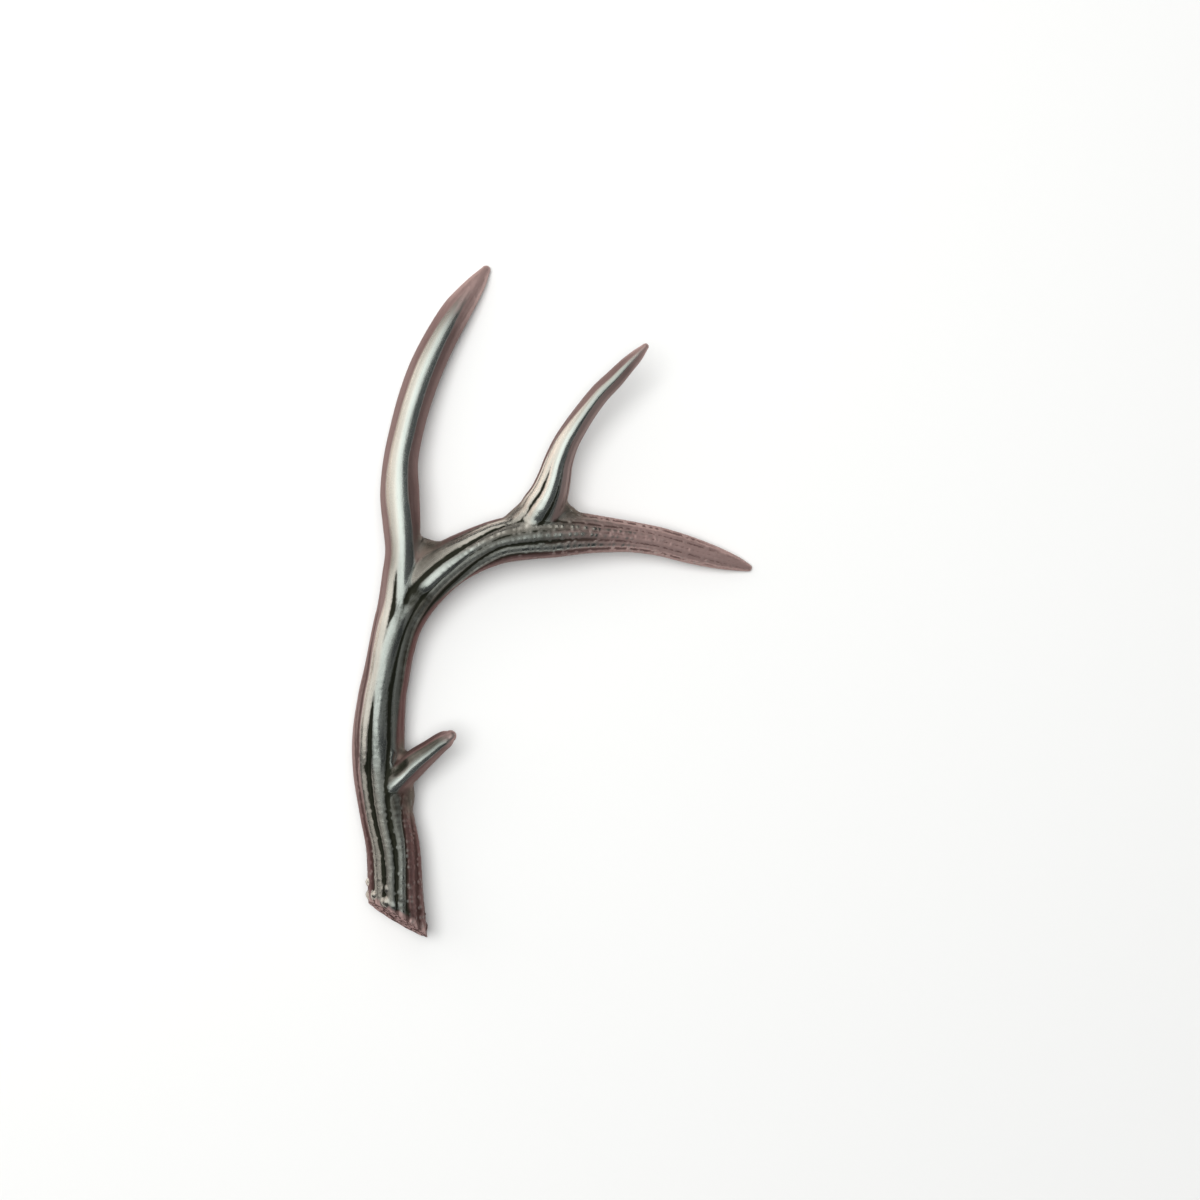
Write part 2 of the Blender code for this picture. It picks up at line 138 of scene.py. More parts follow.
# The tall tine's root runs on down over the beam and sinks into it.
tallTine = {
    "stations": [
        (-112.0, -138.0, 13.0, 5.0, 4.0), (-113.8, -119.0, 18.5, 6.5, 6.0),
        (-114.2, -100.0, 22.8, 8.8, 7.4), (-113.2, -81.0, 23.9, 10.3, 8.3),
        (-110.9, -62.0, 24.6, 10.0, 8.8), (-108.0, -47.0, 25.5, 9.7, 9.3),
        (-105.2, -31.0, 26.4, 10.2, 10.0), (-101.2, -16.0, 26.8, 11.4, 11.2),
        (-97.3, -3.8, 26.9, 12.4, 12.0), (-95.5, 13.8, 28.6, 11.5, 11.6),
        (-94.1, 30.7, 29.4, 10.7, 11.2), (-94.5, 47.7, 28.8, 11.9, 11.6),
        (-95.7, 66.6, 27.0, 12.4, 11.8), (-95.4, 86.8, 24.2, 11.1, 11.3),
        (-91.8, 107.2, 21.0, 10.7, 11.0), (-86.9, 126.3, 17.9, 10.8, 10.8),
        (-80.3, 145.5, 15.0, 10.8, 10.5), (-71.8, 164.0, 12.4, 10.3, 9.9),
        (-62.1, 181.4, 9.9, 9.5, 8.9), (-55.1, 191.8, 8.0, 8.0, 7.5),
        (-47.9, 202.0, 5.7, 5.7, 5.2), (-42.6, 210.1, 3.0, 2.9, 2.8),
    ],
    "crests": [
        {"angle": [(0, -150), (1, -150)], "furrow": [(0, 0.6), (0.5, 0.4), (1, 0.2)],
         "bead": [(0, 0), (1, 0)], "polish": [(0, 0.2), (0.4, 0.7), (1, 0.8)]},
        {"angle": [(0, -86), (1, -92)],
         "furrow": [(0, 0.8), (0.3, 0.8), (0.45, 0.4), (0.55, 0.2), (1, 0.1)],
         "bead": [(0, 0), (1, 0)], "polish": [(0, 0.2), (0.3, 0.4), (0.5, 0.7), (1, 0.8)]},
        {"angle": [(0, -36), (0.1, -32), (0.17, -30), (0.25, -29), (0.34, -34), (0.38, -42),
                   (0.43, -42), (0.5, -36), (1, -40)],
         "furrow": [(0, 1.6), (0.06, 2.2), (0.11, 2.6), (0.15, 2.3), (0.19, 1.3), (0.23, 0.3),
                    (0.29, 0.2), (0.33, 0.5), (0.37, 1.2), (0.4, 1.1), (0.44, 0.4), (0.47, 0.1),
                    (1, 0.0)],
         "bead": [(0, 0), (1, 0)],
         "polish": [(0, 0.2), (0.06, 0.4), (0.1, 0.9), (0.4, 0.95), (0.43, 0.6), (0.45, 0.3),
                    (0.5, 0.6), (0.6, 0.7), (0.78, 0.55), (0.9, 0.2), (1, 0.15)]},
        {"angle": [(0, 12), (0.1, 17), (0.17, 19), (0.23, 15), (0.29, 13), (0.36, 22), (0.43, 21),
                   (0.47, 10), (0.52, -2), (0.56, -6), (0.66, -7), (0.76, -3), (1, 2)],
         "furrow": [(0, 0.6), (0.35, 0.6), (0.5, 0.4), (1, 0.1)],
         "bead": [(0, 0.1), (0.2, 0.1), (0.3, 0), (1, 0)],
         "polish": [(0, 0.12), (0.08, 0.24), (0.13, 0.75), (0.2, 0.9), (0.25, 1), (0.8, 1), (0.88, 0.6),
                    (0.93, 0.25), (1, 0.2)]},
        {"angle": [(0, 72), (1, 80)], "furrow": [(0, 0.7), (0.5, 0.4), (1, 0.2)],
         "bead": [(0, 0), (1, 0)], "polish": [(0, 0.04), (0.35, 0.1), (0.5, 0.5), (1, 0.8)]},
        {"angle": [(0, 138), (1, 142)], "furrow": [(0, 0.7), (0.5, 0.4), (1, 0.2)],
         "bead": [(0, 0), (1, 0)], "polish": [(0, 0.1), (0.4, 0.5), (1, 0.8)]},
    ],
    "rimLeft": [(0, 50), (0.1, 46), (0.17, 44), (0.28, 40), (0.35, 39), (0.4, 37), (0.46, 34),
                (0.51, 36), (0.57, 42), (0.62, 38), (0.68, 34), (0.79, 32), (0.88, 28), (0.92, 18),
                (1, 8)],
    "rimRight": [(0, 80), (0.3, 75), (0.42, 60), (0.46, 46), (0.52, 34), (0.57, 26), (0.62, 29),
                 (0.68, 33), (0.79, 29), (0.88, 24), (0.92, 15), (1, 6)],
    "leftLight": [(0, 0.6), (0.3, 0.5), (0.45, 0.35), (0.9, 0.4), (1, 0.6)],
    "rightLight": [(0, 0.2), (0.4, 0.15), (0.9, 0.2), (1, 0.5)],
    "pebbles": [(0, 0.5), (0.1, 0.2), (0.2, 0.05), (0.85, 0), (1, 0.4)],
    "keelTurn": [(0, 0), (1, 0)], "keel": (0, 20), "wiggle": 0.8, "beadSpacing": 6.0, "pathPoints": 350,
}
foreTine = {
    "stations": [
        (-16.5, 42.1, 26.5, 10.7, 10.0), (-7.6, 55.9, 29.0, 13.5, 12.5),
        (-2.3, 65.8, 30.5, 12.3, 12.2), (1.1, 75.8, 31.8, 10.8, 10.8),
        (3.7, 85.8, 33.0, 9.4, 9.5), (8.1, 97.0, 34.5, 8.3, 8.4),
        (14.0, 107.2, 36.2, 7.5, 7.6), (21.4, 118.0, 38.2, 6.8, 6.8),
        (29.9, 128.8, 40.0, 6.4, 6.3), (38.2, 137.0, 41.4, 6.0, 5.8),
        (46.6, 145.8, 42.6, 5.1, 5.0), (53.3, 152.4, 43.4, 3.9, 3.8),
        (58.3, 157.7, 43.8, 2.1, 2.1),
    ],
    "crests": [
        {"angle": [(0, -158), (1, -156)], "furrow": [(0, 1.4), (0.3, 1.0), (0.6, 0.4), (1, 0.1)],
         "bead": [(0, 0.1), (0.4, 0), (1, 0)], "polish": [(0, 0.3), (0.4, 0.7), (1, 0.9)]},
        {"angle": [(0, -106), (1, -104)], "furrow": [(0, 1.6), (0.3, 1.0), (0.6, 0.4), (1, 0.1)],
         "bead": [(0, 0.1), (0.4, 0), (1, 0)], "polish": [(0, 0.5), (0.4, 0.8), (1, 0.9)]},
        {"angle": [(0, -54), (0.25, -50), (0.45, -44), (1, -40)],
         "furrow": [(0, 0.6), (0.12, 1.1), (0.22, 1.1), (0.3, 0.6), (0.38, 0.1), (1, 0.0)],
         "bead": [(0, 0.1), (0.4, 0), (1, 0)], "polish": [(0, 1), (0.45, 1), (0.6, 0.75), (1, 0.5)]},
        {"angle": [(0, -6), (0.2, 0), (0.45, 4), (1, 4)],
         "furrow": [(0, 1.2), (0.2, 0.9), (0.5, 0.4), (1, 0.1)],
         "bead": [(0, 0.2), (0.3, 0), (1, 0)],
         "polish": [(0, 0.8), (0.2, 0.95), (0.45, 1), (0.6, 0.75), (1, 0.5)]},
        {"angle": [(0, 50), (1, 52)], "furrow": [(0, 1.4), (0.3, 0.9), (0.6, 0.4), (1, 0.1)],
         "bead": [(0, 0.1), (0.4, 0), (1, 0)], "polish": [(0, 0.06), (0.4, 0.2), (1, 0.5)]},
        {"angle": [(0, 102), (1, 104)], "furrow": [(0, 1.4), (0.3, 1.0), (0.6, 0.4), (1, 0.1)],
         "bead": [(0, 0.1), (0.4, 0), (1, 0)], "polish": [(0, 0.1), (0.4, 0.4), (1, 0.7)]},
        {"angle": [(0, 152), (1, 154)], "furrow": [(0, 1.4), (0.3, 1.0), (0.6, 0.4), (1, 0.1)],
         "bead": [(0, 0.1), (0.4, 0), (1, 0)], "polish": [(0, 0.2), (0.4, 0.6), (1, 0.8)]},
    ],
    "rimLeft": [(0, 66), (0.3, 62), (0.45, 46), (0.55, 35), (0.65, 24), (0.8, 16), (1, 12)],
    "rimRight": [(0, 50), (0.2, 34), (0.45, 26), (0.6, 20), (0.8, 15), (1, 10)],
    "leftLight": [(0, 0.5), (1, 0.3)], "rightLight": [(0, 0.8), (0.3, 1), (0.8, 0.7), (1, 0.4)],
    "pebbles": [(0, 0.5), (0.12, 0.25), (0.25, 0), (1, 0)],
    "keelTurn": [(0, 4), (1, 4)], "keel": (0.06, 22), "wiggle": 1.0,
    "beadSpacing": 6.0, "pathPoints": 180,
}
browTine = {
    "stations": [
        (-108.6, -124.0, 18.5, 8.2, 7.8), (-100.8, -116.1, 21.8, 9.2, 9.0),
        (-92.4, -108.0, 23.6, 8.9, 8.4), (-84.5, -100.8, 26.0, 8.3, 7.8),
        (-75.6, -93.8, 29.0, 6.9, 6.8), (-70.3, -89.6, 30.9, 6.2, 6.0),
        (-65.9, -86.7, 32.3, 5.4, 5.1), (-63.5, -85.1, 33.1, 3.7, 3.5),
    ],
    "crests": [
        {"angle": [(0, -148), (1, -148)], "furrow": [(0, 1.3), (1, 0.3)],
         "bead": [(0, 0.1), (1, 0)], "polish": [(0, 0.15), (1, 0.3)]},
        {"angle": [(0, -96), (1, -92)], "furrow": [(0, 0.9), (1, 0.3)],
         "bead": [(0, 0.1), (1, 0)], "polish": [(0, 0.12), (1, 0.3)]},
        {"angle": [(0, -48), (1, -46)], "furrow": [(0, 0.5), (0.6, 0.2), (1, 0.1)],
         "bead": [(0, 0.1), (1, 0)], "polish": [(0, 0.03), (1, 0.05)]},
        {"angle": [(0, -18), (0.4, -18), (0.7, -12), (1, -8)],
         "furrow": [(0, 0.2), (0.6, 0.1), (1, 0.1)],
         "bead": [(0, 0.1), (1, 0)], "polish": [(0, 0.05), (0.5, 0.1), (1, 0.1)]},
        {"angle": [(0, 12), (0.4, 11), (0.7, 16), (1, 20)], "furrow": [(0, 0.3), (0.6, 0.2), (1, 0.1)],
         "bead": [(0, 0.1), (1, 0)], "polish": [(0, 1), (0.4, 1), (0.8, 0.8), (1, 0.5)]},
        {"angle": [(0, 38), (1, 46)], "furrow": [(0, 0.6), (1, 0.3)],
         "bead": [(0, 0.1), (1, 0)], "polish": [(0, 0.0), (1, 0.03)]},
        {"angle": [(0, 90), (1, 92)], "furrow": [(0, 1.3), (1, 0.3)],
         "bead": [(0, 0.1), (1, 0)], "polish": [(0, 0.1), (1, 0.2)]},
        {"angle": [(0, 146), (1, 146)], "furrow": [(0, 1.3), (1, 0.3)],
         "bead": [(0, 0.1), (1, 0)], "polish": [(0, 0.12), (1, 0.3)]},
    ],
    "rimLeft": [(0, 66), (0.3, 52), (0.6, 42), (1, 28)],
    "rimRight": [(0, 36), (0.4, 27), (1, 28)],
    "leftLight": [(0, 0.3), (1, 0.4)], "rightLight": [(0, 0.3), (1, 0.4)],
    "pebbles": [(0, 0.4), (0.3, 0.15), (1, 0.15)],
    "keelTurn": [(0, 12), (0.4, 11), (0.7, 16), (1, 20)], "keel": (0.13, 20),
    "wiggle": 0.8, "beadSpacing": 5.0, "pathPoints": 110,
}
# How softly each tine flows into the beam (blend). A web of metal (x, y, height, size, softness)
# fills a crotch. tips says where each red-brown tip begins, where it is full, and how strong it is.
# A dent is (x, y, height, size, depth). A depth below 0 is a bump.
forks = {
    "tallTine": {"blend": 2.4, "webs": [(-78, 33, 27, 12, 25)]},
    "foreTine": {"blend": 3.2, "webs": [(12, 56, 27, 9, 17), (-22, 54, 27, 11, 16)]},
    "browTine": {"blend": 2.4, "webs": [(-87, -126, 18, 11, 19), (-93, -96, 20, 7, 9)]},
}
tips = {"beam": (0.66, 0.88, 1.0), "tallTine": (0.84, 1.0, 1.0), "foreTine": (0.82, 1.0, 0.7),
        "browTine": (0.84, 1.0, 0.5)}
# The dents are darkened like the furrows; the last three darken the crotch of the tall tine's fork as
# painted shade.
dents = [
    (-95.4, -105.2, 31.0, 3.4, 1.8), (-97.8, -108.2, 31.0, 2.4, 1.4), (-92.4, -102.6, 31.0, 2.6, 1.4),
    (-97.2, -101.2, 29.0, 2.6, 1.2), (-100.6, -96.6, 27.0, 1.7, -0.9),
    (-101.0, -100.0, 28.0, 1.7, -0.9), (-100.9, -103.4, 29.0, 1.7, -0.9),
    (-83.0, 4.0, 38.0, 4.2, 1.5), (-78.5, 0.5, 37.0, 3.0, 0.9), (-87.6, -1.6, 38.0, 3.8, 1.2),
]
sawnEnd = {"point": (-97.9, -201.1, 21.0), "slant": 30, "lean": 15, "rings": 14, "relief": 0.22}
pearls = {
    "count": 15, "radius": 2.5, "sink": 1.6, "setBack": 5.2, "blend": 1.3, "reach": 22,
    "secondCount": 9, "secondRadius": 2.0, "secondSetBack": 13.0,
}
skin = {"voxel": 0.94, "relaxRounds": 3, "relaxShare": 0.5, "sides": 96, "farthestStep": 2.5,
        "leastSlope": 0.2, "tineMargin": 34}
# Tables are read at this many even steps, each softened over so many steps to either side.
tableSteps = 400
tableSoftening = 11
# How the masks are read from the shape, in millimetres.
masks = {"nearestWins": 1.2, "fullFurrow": 1.1, "creaseWidth": 2.2, "fullDent": 2.6, "fullBump": 0.8,
         "edgeBand": 2.4, "burrReach": 16, "pearlEdge": 0.8}


def smoothCurve(stations, count):
    # Catmull-Rom: through four neighbours a b c d, half of
    # 2b + (c-a)t + (2a-5b+4c-d)t^2 + (3b-a-3c+d)t^3, then evenly spaced along its length.
    p = np.array(stations, float)
    p = np.vstack([2 * p[0] - p[1], p, 2 * p[-1] - p[-2]])
    a, b, c, d = (p[k:len(p) - 3 + k, None, :] for k in range(4))
    t = np.linspace(0, 1, 40, endpoint=False)[None, :, None]
    fine = 0.5 * (2 * b + (c - a) * t + (2 * a - 5 * b + 4 * c - d) * t**2
                  + (3 * b - a - 3 * c + d) * t**3)
    fine = np.vstack([fine.reshape(-1, 5), p[-2:-1]])
    reached = np.concatenate([[0], np.cumsum(np.linalg.norm(np.diff(fine[:, :3], axis=0), axis=1))])
    wanted = np.linspace(0, reached[-1], count)
    return np.column_stack([np.interp(wanted, reached, fine[:, k]) for k in range(5)]), reached[-1]


def prepare(branch):
    # At every path point: the way ahead, level right = ahead x up, and up = right x ahead.
    # Each crest's tables are read at even steps and softened by a raised cosine that sums to 1.
    branch["path"], branch["length"] = smoothCurve(branch["stations"], branch["pathPoints"])
    ahead = np.gradient(branch["path"][:, :3], axis=0)
    ahead /= np.linalg.norm(ahead, axis=1)[:, None]
    right = np.cross(ahead, (0, 0, 1))
    right /= np.linalg.norm(right, axis=1)[:, None]
    branch["frames"] = np.stack([ahead, right, np.cross(right, ahead)], axis=1)
    places = np.linspace(0, 1, tableSteps + 1)
    window = np.hanning(2 * tableSoftening + 1)
    tables = {key: [crest[key] for crest in branch["crests"]]
              for key in ("angle", "furrow", "bead", "polish")}
    tables["rim"] = [branch[key] for key in (
        "rimLeft", "rimRight", "leftLight", "rightLight", "keelTurn", "pebbles")]
    for key, found in tables.items():
        rows = np.stack([np.interp(places, *zip(*table)) for table in found])
        rows = np.pad(rows, ((0, 0), (tableSoftening, tableSoftening)), mode="edge")
        smoothed = [np.convolve(row, window / window.sum(), "valid") for row in rows]
        branch[key] = np.stack(smoothed, axis=1)


def ridges(branch, along, angle):
    # Between two neighbouring crests the furrow is 1 - |cos(pi * phase)|: round crests, sharp valleys.
    # Its depth also grows with its width^0.6. Beads are an uneven sine along the crest.
    # Polish goes from one crest's to the next one's as 3 phase^2 - 2 phase^3.
    step = np.clip(along, 0, 1) * tableSteps
    first = np.minimum(step.astype(int), tableSteps - 1)
    part = (step - first)[:, None]
    angles, furrows, beads, polish = (
        branch[key][first] * (1 - part) + branch[key][first + 1] * part
        for key in ("angle", "furrow", "bead", "polish"))
    count = angles.shape[1]
    number = np.arange(count)
    length = along[:, None] * branch["length"]
    angles = angles + branch["wiggle"] * np.sin(length / (9 + number % 4 * 2.3) + 1.7 * number)
    ends = np.concatenate([angles - angles[:, :1], np.full((len(angles), 1), 360.0)], axis=1)
    turned = (angle - angles[:, 0]) % 360
    place = np.clip((turned[:, None] >= ends).sum(axis=1) - 1, 0, count - 1)
    row = np.arange(len(ends))
    low, high = ends[row, place], ends[row, place + 1]
    phase = (turned - low) / np.maximum(high - low, 1)
    valley = 1 - np.abs(np.cos(np.pi * phase))
    width = np.clip((high - low) / (360 / count), 0.4, 1.5)
    depth = furrows[row, place] * width**0.6 * valley
    nextOne = (place + 1) % count
    nearest = np.where(phase > 0.5, nextOne, place)
    beat = 2 * np.pi * along * branch["length"] / branch["beadSpacing"] + 2.1 * nearest
    beat = beat + 1.2 * np.sin(beat * 0.37) + 0.9 * np.sin(beat * 0.61 + nearest)
    uneven = 0.75 + 0.25 * np.sin(beat * 0.23)
    bead = np.clip(1 - 3.2 * valley, 0, 1) * (0.5 + 0.5 * np.sin(beat)) * uneven
    bead *= beads[row, nearest]
    share = phase * phase * (3 - 2 * phase)
    return depth, bead, valley, polish[row, place] * (1 - share) + polish[row, nextOne] * share


def branchField(branch, points):
    # Nearest place on the path, then distance = (oval reach - 1) * local size + furrow - bead - keel,
    # where reach^2 = (across / wide)^2 + (upward / deep)^2 + (over / wide)^2.
    # The painted red reflection on the flanks begins 7 degrees before its rim and is full 7 degrees past
    # it.
    centres, frames = branch["path"], branch["frames"]
    last = len(centres) - 2
    near = np.concatenate([
        np.argmin(((centres[:, :3] ** 2).sum(1))[None] - 2 * part @ centres[:, :3].T, axis=1)
        for part in np.array_split(points, max(1, len(points) // 12000))])
    best = None
    for first in (np.clip(near - 1, 0, last), np.clip(near, 0, last)):
        start, step = centres[first, :3], centres[first + 1, :3] - centres[first, :3]
        t = ((points - start) * step).sum(1) / (step**2).sum(1)
        t = np.where(first == 0, np.minimum(t, 1),
                     np.where(first == last, np.maximum(t, 0), np.clip(t, 0, 1)))
        held = np.clip(t, 0, 1)[:, None]
        far = np.linalg.norm(points - start - step * held, axis=1)
        found = np.concatenate([first[:, None], t[:, None], far[:, None]], axis=1)
        best = found if best is None else np.where((found[:, 2] < best[:, 2])[:, None], found, best)
    first, t = best[:, 0].astype(int), best[:, 1:2]
    held = np.clip(t, 0, 1)
    here = centres[first] * (1 - held) + centres[first + 1] * held
    axes = frames[first] * (1 - held[:, :, None]) + frames[first + 1] * held[:, :, None]
    offset = points - here[:, :3]
    over, across, upward = ((offset * axes[:, k]).sum(1) for k in range(3))
    wide, deep = here[:, 3], here[:, 4]
    angle = np.arctan2(across / wide, upward / deep)
    reach = np.sqrt((across / wide) ** 2 + (upward / deep) ** 2 + (over / wide) ** 2)
    size = np.sqrt((wide * np.sin(angle)) ** 2 + (deep * np.cos(angle)) ** 2)
    along = (first + held[:, 0]) / (last + 1)
    turn = np.degrees(angle)
    depth, bead, valley, polish = ridges(branch, along, turn)
    fade = np.clip(1.2 - np.abs(over) / wide, 0, 1)
    left, right, leftLight, rightLight, keelTurn, pebbles = (
        np.interp(along, np.linspace(0, 1, tableSteps + 1), row) for row in branch["rim"].T)
    # A painted red reflection on the flanks, set by the angle round the branch.
    tarnishAndReflection = np.clip(0.5 + np.where(turn < 0, -turn - left, turn - right) / 14, 0, 1)
    light = np.where(turn < 0, leftLight, rightLight)
    keelShare, keelWidth = branch["keel"]
    keel = keelShare * size * np.exp(-((turn - keelTurn) / keelWidth) ** 2)
    pebbles = pebbles * np.clip(0.35 + 0.65 * tarnishAndReflection + 0.4 * valley, 0, 1)
    return {"plain": (reach - 1) * size, "relief": (depth - bead - keel) * fade, "along": along,
            "turn": turn, "valley": valley, "depth": depth, "bead": bead, "polish": polish,
            "tarnishAndReflection": tarnishAndReflection, "light": light, "pebble": pebbles, "wide": wide}


def smoothUnion(a, b, blend):
    # min(a, b) - blend/4 * h^2, where h = 1 where a = b and 0 where they differ by blend.
    h = np.clip(1 - np.abs(a - b) / blend, 0, 1)
    return np.minimum(a, b) - h * h * blend / 4


def endNormal():
    # The sawn end faces back down the beam, slanted across it, and leans a little upwards.
    slant, lean = np.radians(sawnEnd["slant"]), np.radians(sawnEnd["lean"])
    return np.array([-np.sin(slant) * np.cos(lean), -np.cos(slant) * np.cos(lean), np.sin(lean)])


def pearlCentres():
    # Rows of pearls on an oval round the beam, each row at about one distance from the cut's plane.
    # Sines make their sizes and spacing uneven.
    normal, point = endNormal(), np.array(sawnEnd["point"])
    path, frames = beam["path"], beam["frames"]
    k = int(np.argmin(np.linalg.norm(path[:, :3] - point, axis=1)))
    ahead, right, up = frames[k + 8]
    rows = []
    for count, radius, back, shift in (
            (pearls["count"], pearls["radius"], pearls["setBack"], 0.0),
            (pearls["secondCount"], pearls["secondRadius"], pearls["secondSetBack"], 0.45)):
        n = np.arange(count)
        turn = 2 * np.pi * (n + shift + 0.3 * np.sin(2.4 * n)) / count
        size = radius * (1 + 0.25 * np.sin(1.9 * n + 0.6))
        inward = size * pearls["sink"] / pearls["radius"]
        edge = (right[None] * (np.sin(turn) * (path[k, 3] - inward))[:, None]
                + up[None] * (np.cos(turn) * (path[k, 4] - inward))[:, None])
        start = point + edge
        reach = -((start - point) @ normal) / (ahead @ normal)
        middle = start + ahead * (reach + back + 0.9 * np.sin(3.1 * n))[:, None]
        rows.append(np.column_stack([middle, size]))
    return np.vstack(rows)


def antlerField(points):
    # The beam, with each tine joined on by a soft minimum whose softness grows in the fork's web.
    # The furrows fade in the webs. A dent lowers the surface by depth * exp(-(distance / size)^2).
    parts = {"beam": branchField(beam, points)}
    blends, calm = {}, np.zeros(len(points))
    for name, tine in (("tallTine", tallTine), ("foreTine", foreTine), ("browTine", browTine)):
        low = tine["path"][:, :3].min(0) - skin["tineMargin"]
        high = tine["path"][:, :3].max(0) + skin["tineMargin"]
        inside = ((points > low) & (points < high)).all(1)
        found = branchField(tine, points[inside])
        parts[name] = {key: np.full(len(points), 99.0) for key in found}
        for key in found:
            parts[name][key][inside] = found[key]
        blends[name] = np.full(len(points), float(forks[name]["blend"]))
        for x, y, z, size, soft in forks[name]["webs"]:
            web = np.exp(-((points - (x, y, z)) ** 2).sum(1) / size**2)
            blends[name] += (soft - forks[name]["blend"]) * web
            calm = np.maximum(calm, np.clip(1.5 * web, 0, 1))
    hollow = sum(depth * np.exp(-((points - (x, y, z)) ** 2).sum(1) / size**2)
                 for x, y, z, size, depth in dents)
    for part in parts.values():
        part["calm"], part["hollow"] = calm, hollow
    fields = {name: part["plain"] + part["relief"] * (1 - calm) + hollow for name, part in parts.items()}
    total = fields["beam"].copy()
    for name, blend in blends.items():
        total = smoothUnion(total, fields[name], blend)
    near = np.abs((points - sawnEnd["point"]) @ endNormal()) < pearls["reach"]
    if near.any():
        gap = np.linalg.norm(points[near][:, None] - pearls["centres"][None, :, :3], axis=2)
        bead = (gap - pearls["centres"][None, :, 3]).min(axis=1)
        total[near] = smoothUnion(total[near], bead, pearls["blend"])
    return total, parts, fields


def gradient(points, value):
    # Forward differences of the field: (f(p + step) - f(p)) / step, along x, y and z.
    step = 0.02
    return np.stack([(antlerField(points + np.eye(3)[k] * step)[0] - value) / step for k in range(3)], 1)


def pulledOnto(points, share=1.0):
    # One Newton step towards the surface where the field is zero: -f * slope / |slope|^2.
    value = antlerField(points)[0]
    slope = gradient(points, value)
    steps = -value[:, None] * slope / np.maximum((slope**2).sum(1), skin["leastSlope"])[:, None]
    return points + np.clip(steps * share, -skin["farthestStep"], skin["farthestStep"])


def tubeMesh(branch):
    # A profile carried along the path: centre + right * w sin(a) * r + up * d cos(a) * r,
    # where r takes off the furrow. A ring of cosines past the last station rounds the tip.
    path, frames = branch["path"], branch["frames"]
    around = np.linspace(0, 2 * np.pi, skin["sides"] + 1)[:-1]
    dome = np.radians([20, 40, 58, 74, 84])
    end = path[-1, :3] + frames[-1, 0] * path[-1, 3] * np.sin(dome)[:, None]
    centres = np.vstack([path[:, :3], end])
    size = np.vstack([path[:, 3:], path[-1, 3:] * np.cos(dome)[:, None]])
    axes = np.concatenate([frames, np.repeat(frames[-1:], len(dome), 0)])
    along = np.concatenate([np.linspace(0, 1, len(path)), np.ones(len(dome))])
    s, a = np.meshgrid(along, around, indexing="ij")
    depth = ridges(branch, s.ravel(), np.degrees(a.ravel()))[0].reshape(s.shape)
    r = 1 - depth / size[:, :1].clip(3)
    points = (centres[:, None] + axes[:, None, 1] * (size[:, None, 0] * np.sin(a) * r)[:, :, None]
              + axes[:, None, 2] * (size[:, None, 1] * np.cos(a) * r)[:, :, None])
    rings, sides = s.shape
    i, j = np.meshgrid(np.arange(rings - 1), np.arange(sides), indexing="ij")
    corner = i * sides + j
    after = i * sides + (j + 1) % sides
    quads = np.stack([corner, corner + sides, after + sides, after], axis=-1).reshape(-1, 4)
    verts = points.reshape(-1, 3)
    ends = np.array([points[0].mean(0), points[-1].mean(0)])
    k = np.arange(sides)
    first = np.stack([k, (k + 1) % sides, np.full(sides, len(verts))], 1)
    tip = np.stack([(rings - 1) * sides + (k + 1) % sides, (rings - 1) * sides + k,
                    np.full(sides, len(verts) + 1)], 1)
    return np.vstack([verts, ends]), quads.tolist() + first.tolist() + tip.tolist()


def meshFrom(name, verts, faces):
    mesh = bpy.data.meshes.new(name)
    mesh.from_pydata((verts * mm).tolist(), [], faces)
    mesh.update()
    return mesh


def coordinates(mesh):
    flat = np.empty(len(mesh.vertices) * 3)
    mesh.vertices.foreach_get("co", flat)
    return flat.reshape(-1, 3) / mm


def edgeEnds(mesh):
    flat = np.empty(len(mesh.edges) * 2, int)
    mesh.edges.foreach_get("vertices", flat)
    return flat.reshape(-1, 2)


def fusedTubes():
    # The four tubes in one mesh, made a single closed skin by a voxel remesh.
    verts, faces, count = [], [], 0
    for branch in (beam, tallTine, foreTine, browTine):
        v, f = tubeMesh(branch)
        verts.append(v)
        faces += [[c + count for c in face] for face in f]
        count += len(v)
    mesh = meshFrom("tubes", np.vstack(verts), faces)
    bm = bmesh.new()
    bm.from_mesh(mesh)
    bmesh.ops.recalc_face_normals(bm, faces=bm.faces)
    bm.to_mesh(mesh)
    bm.free()
    tubes = bpy.data.objects.new("tubes", mesh)
    bpy.context.scene.collection.objects.link(tubes)
    remesh = tubes.modifiers.new("fuse", "REMESH")
    remesh.mode = "VOXEL"
    remesh.voxel_size = skin["voxel"] * mm
    graph = bpy.context.evaluated_depsgraph_get()
    fused = bpy.data.meshes.new_from_object(tubes.evaluated_get(graph))
    bpy.data.objects.remove(tubes)
    return fused


def relaxed(points, edges, share):
    # Each point moves a share of the way to the mean of its neighbours.
    total = np.zeros_like(points)
    for k in range(3):
        total[:, k] = (np.bincount(edges[:, 0], points[edges[:, 1], k], len(points))
                       + np.bincount(edges[:, 1], points[edges[:, 0], k], len(points)))
    count = np.bincount(edges.ravel(), minlength=len(points))
    return points + share * (total / np.maximum(count, 1)[:, None] - points)


def sawOff(mesh):
    # Cuts the skin flat at the sawn end and leaves its rim open.
    bm = bmesh.new()
    bm.from_mesh(mesh)
    geometry = bm.verts[:] + bm.edges[:] + bm.faces[:]
    bmesh.ops.bisect_plane(bm, geom=geometry, dist=0.02 * mm, plane_co=np.array(sawnEnd["point"]) * mm,
                           plane_no=endNormal(), clear_outer=True)
    bm.to_mesh(mesh)
    bm.free()


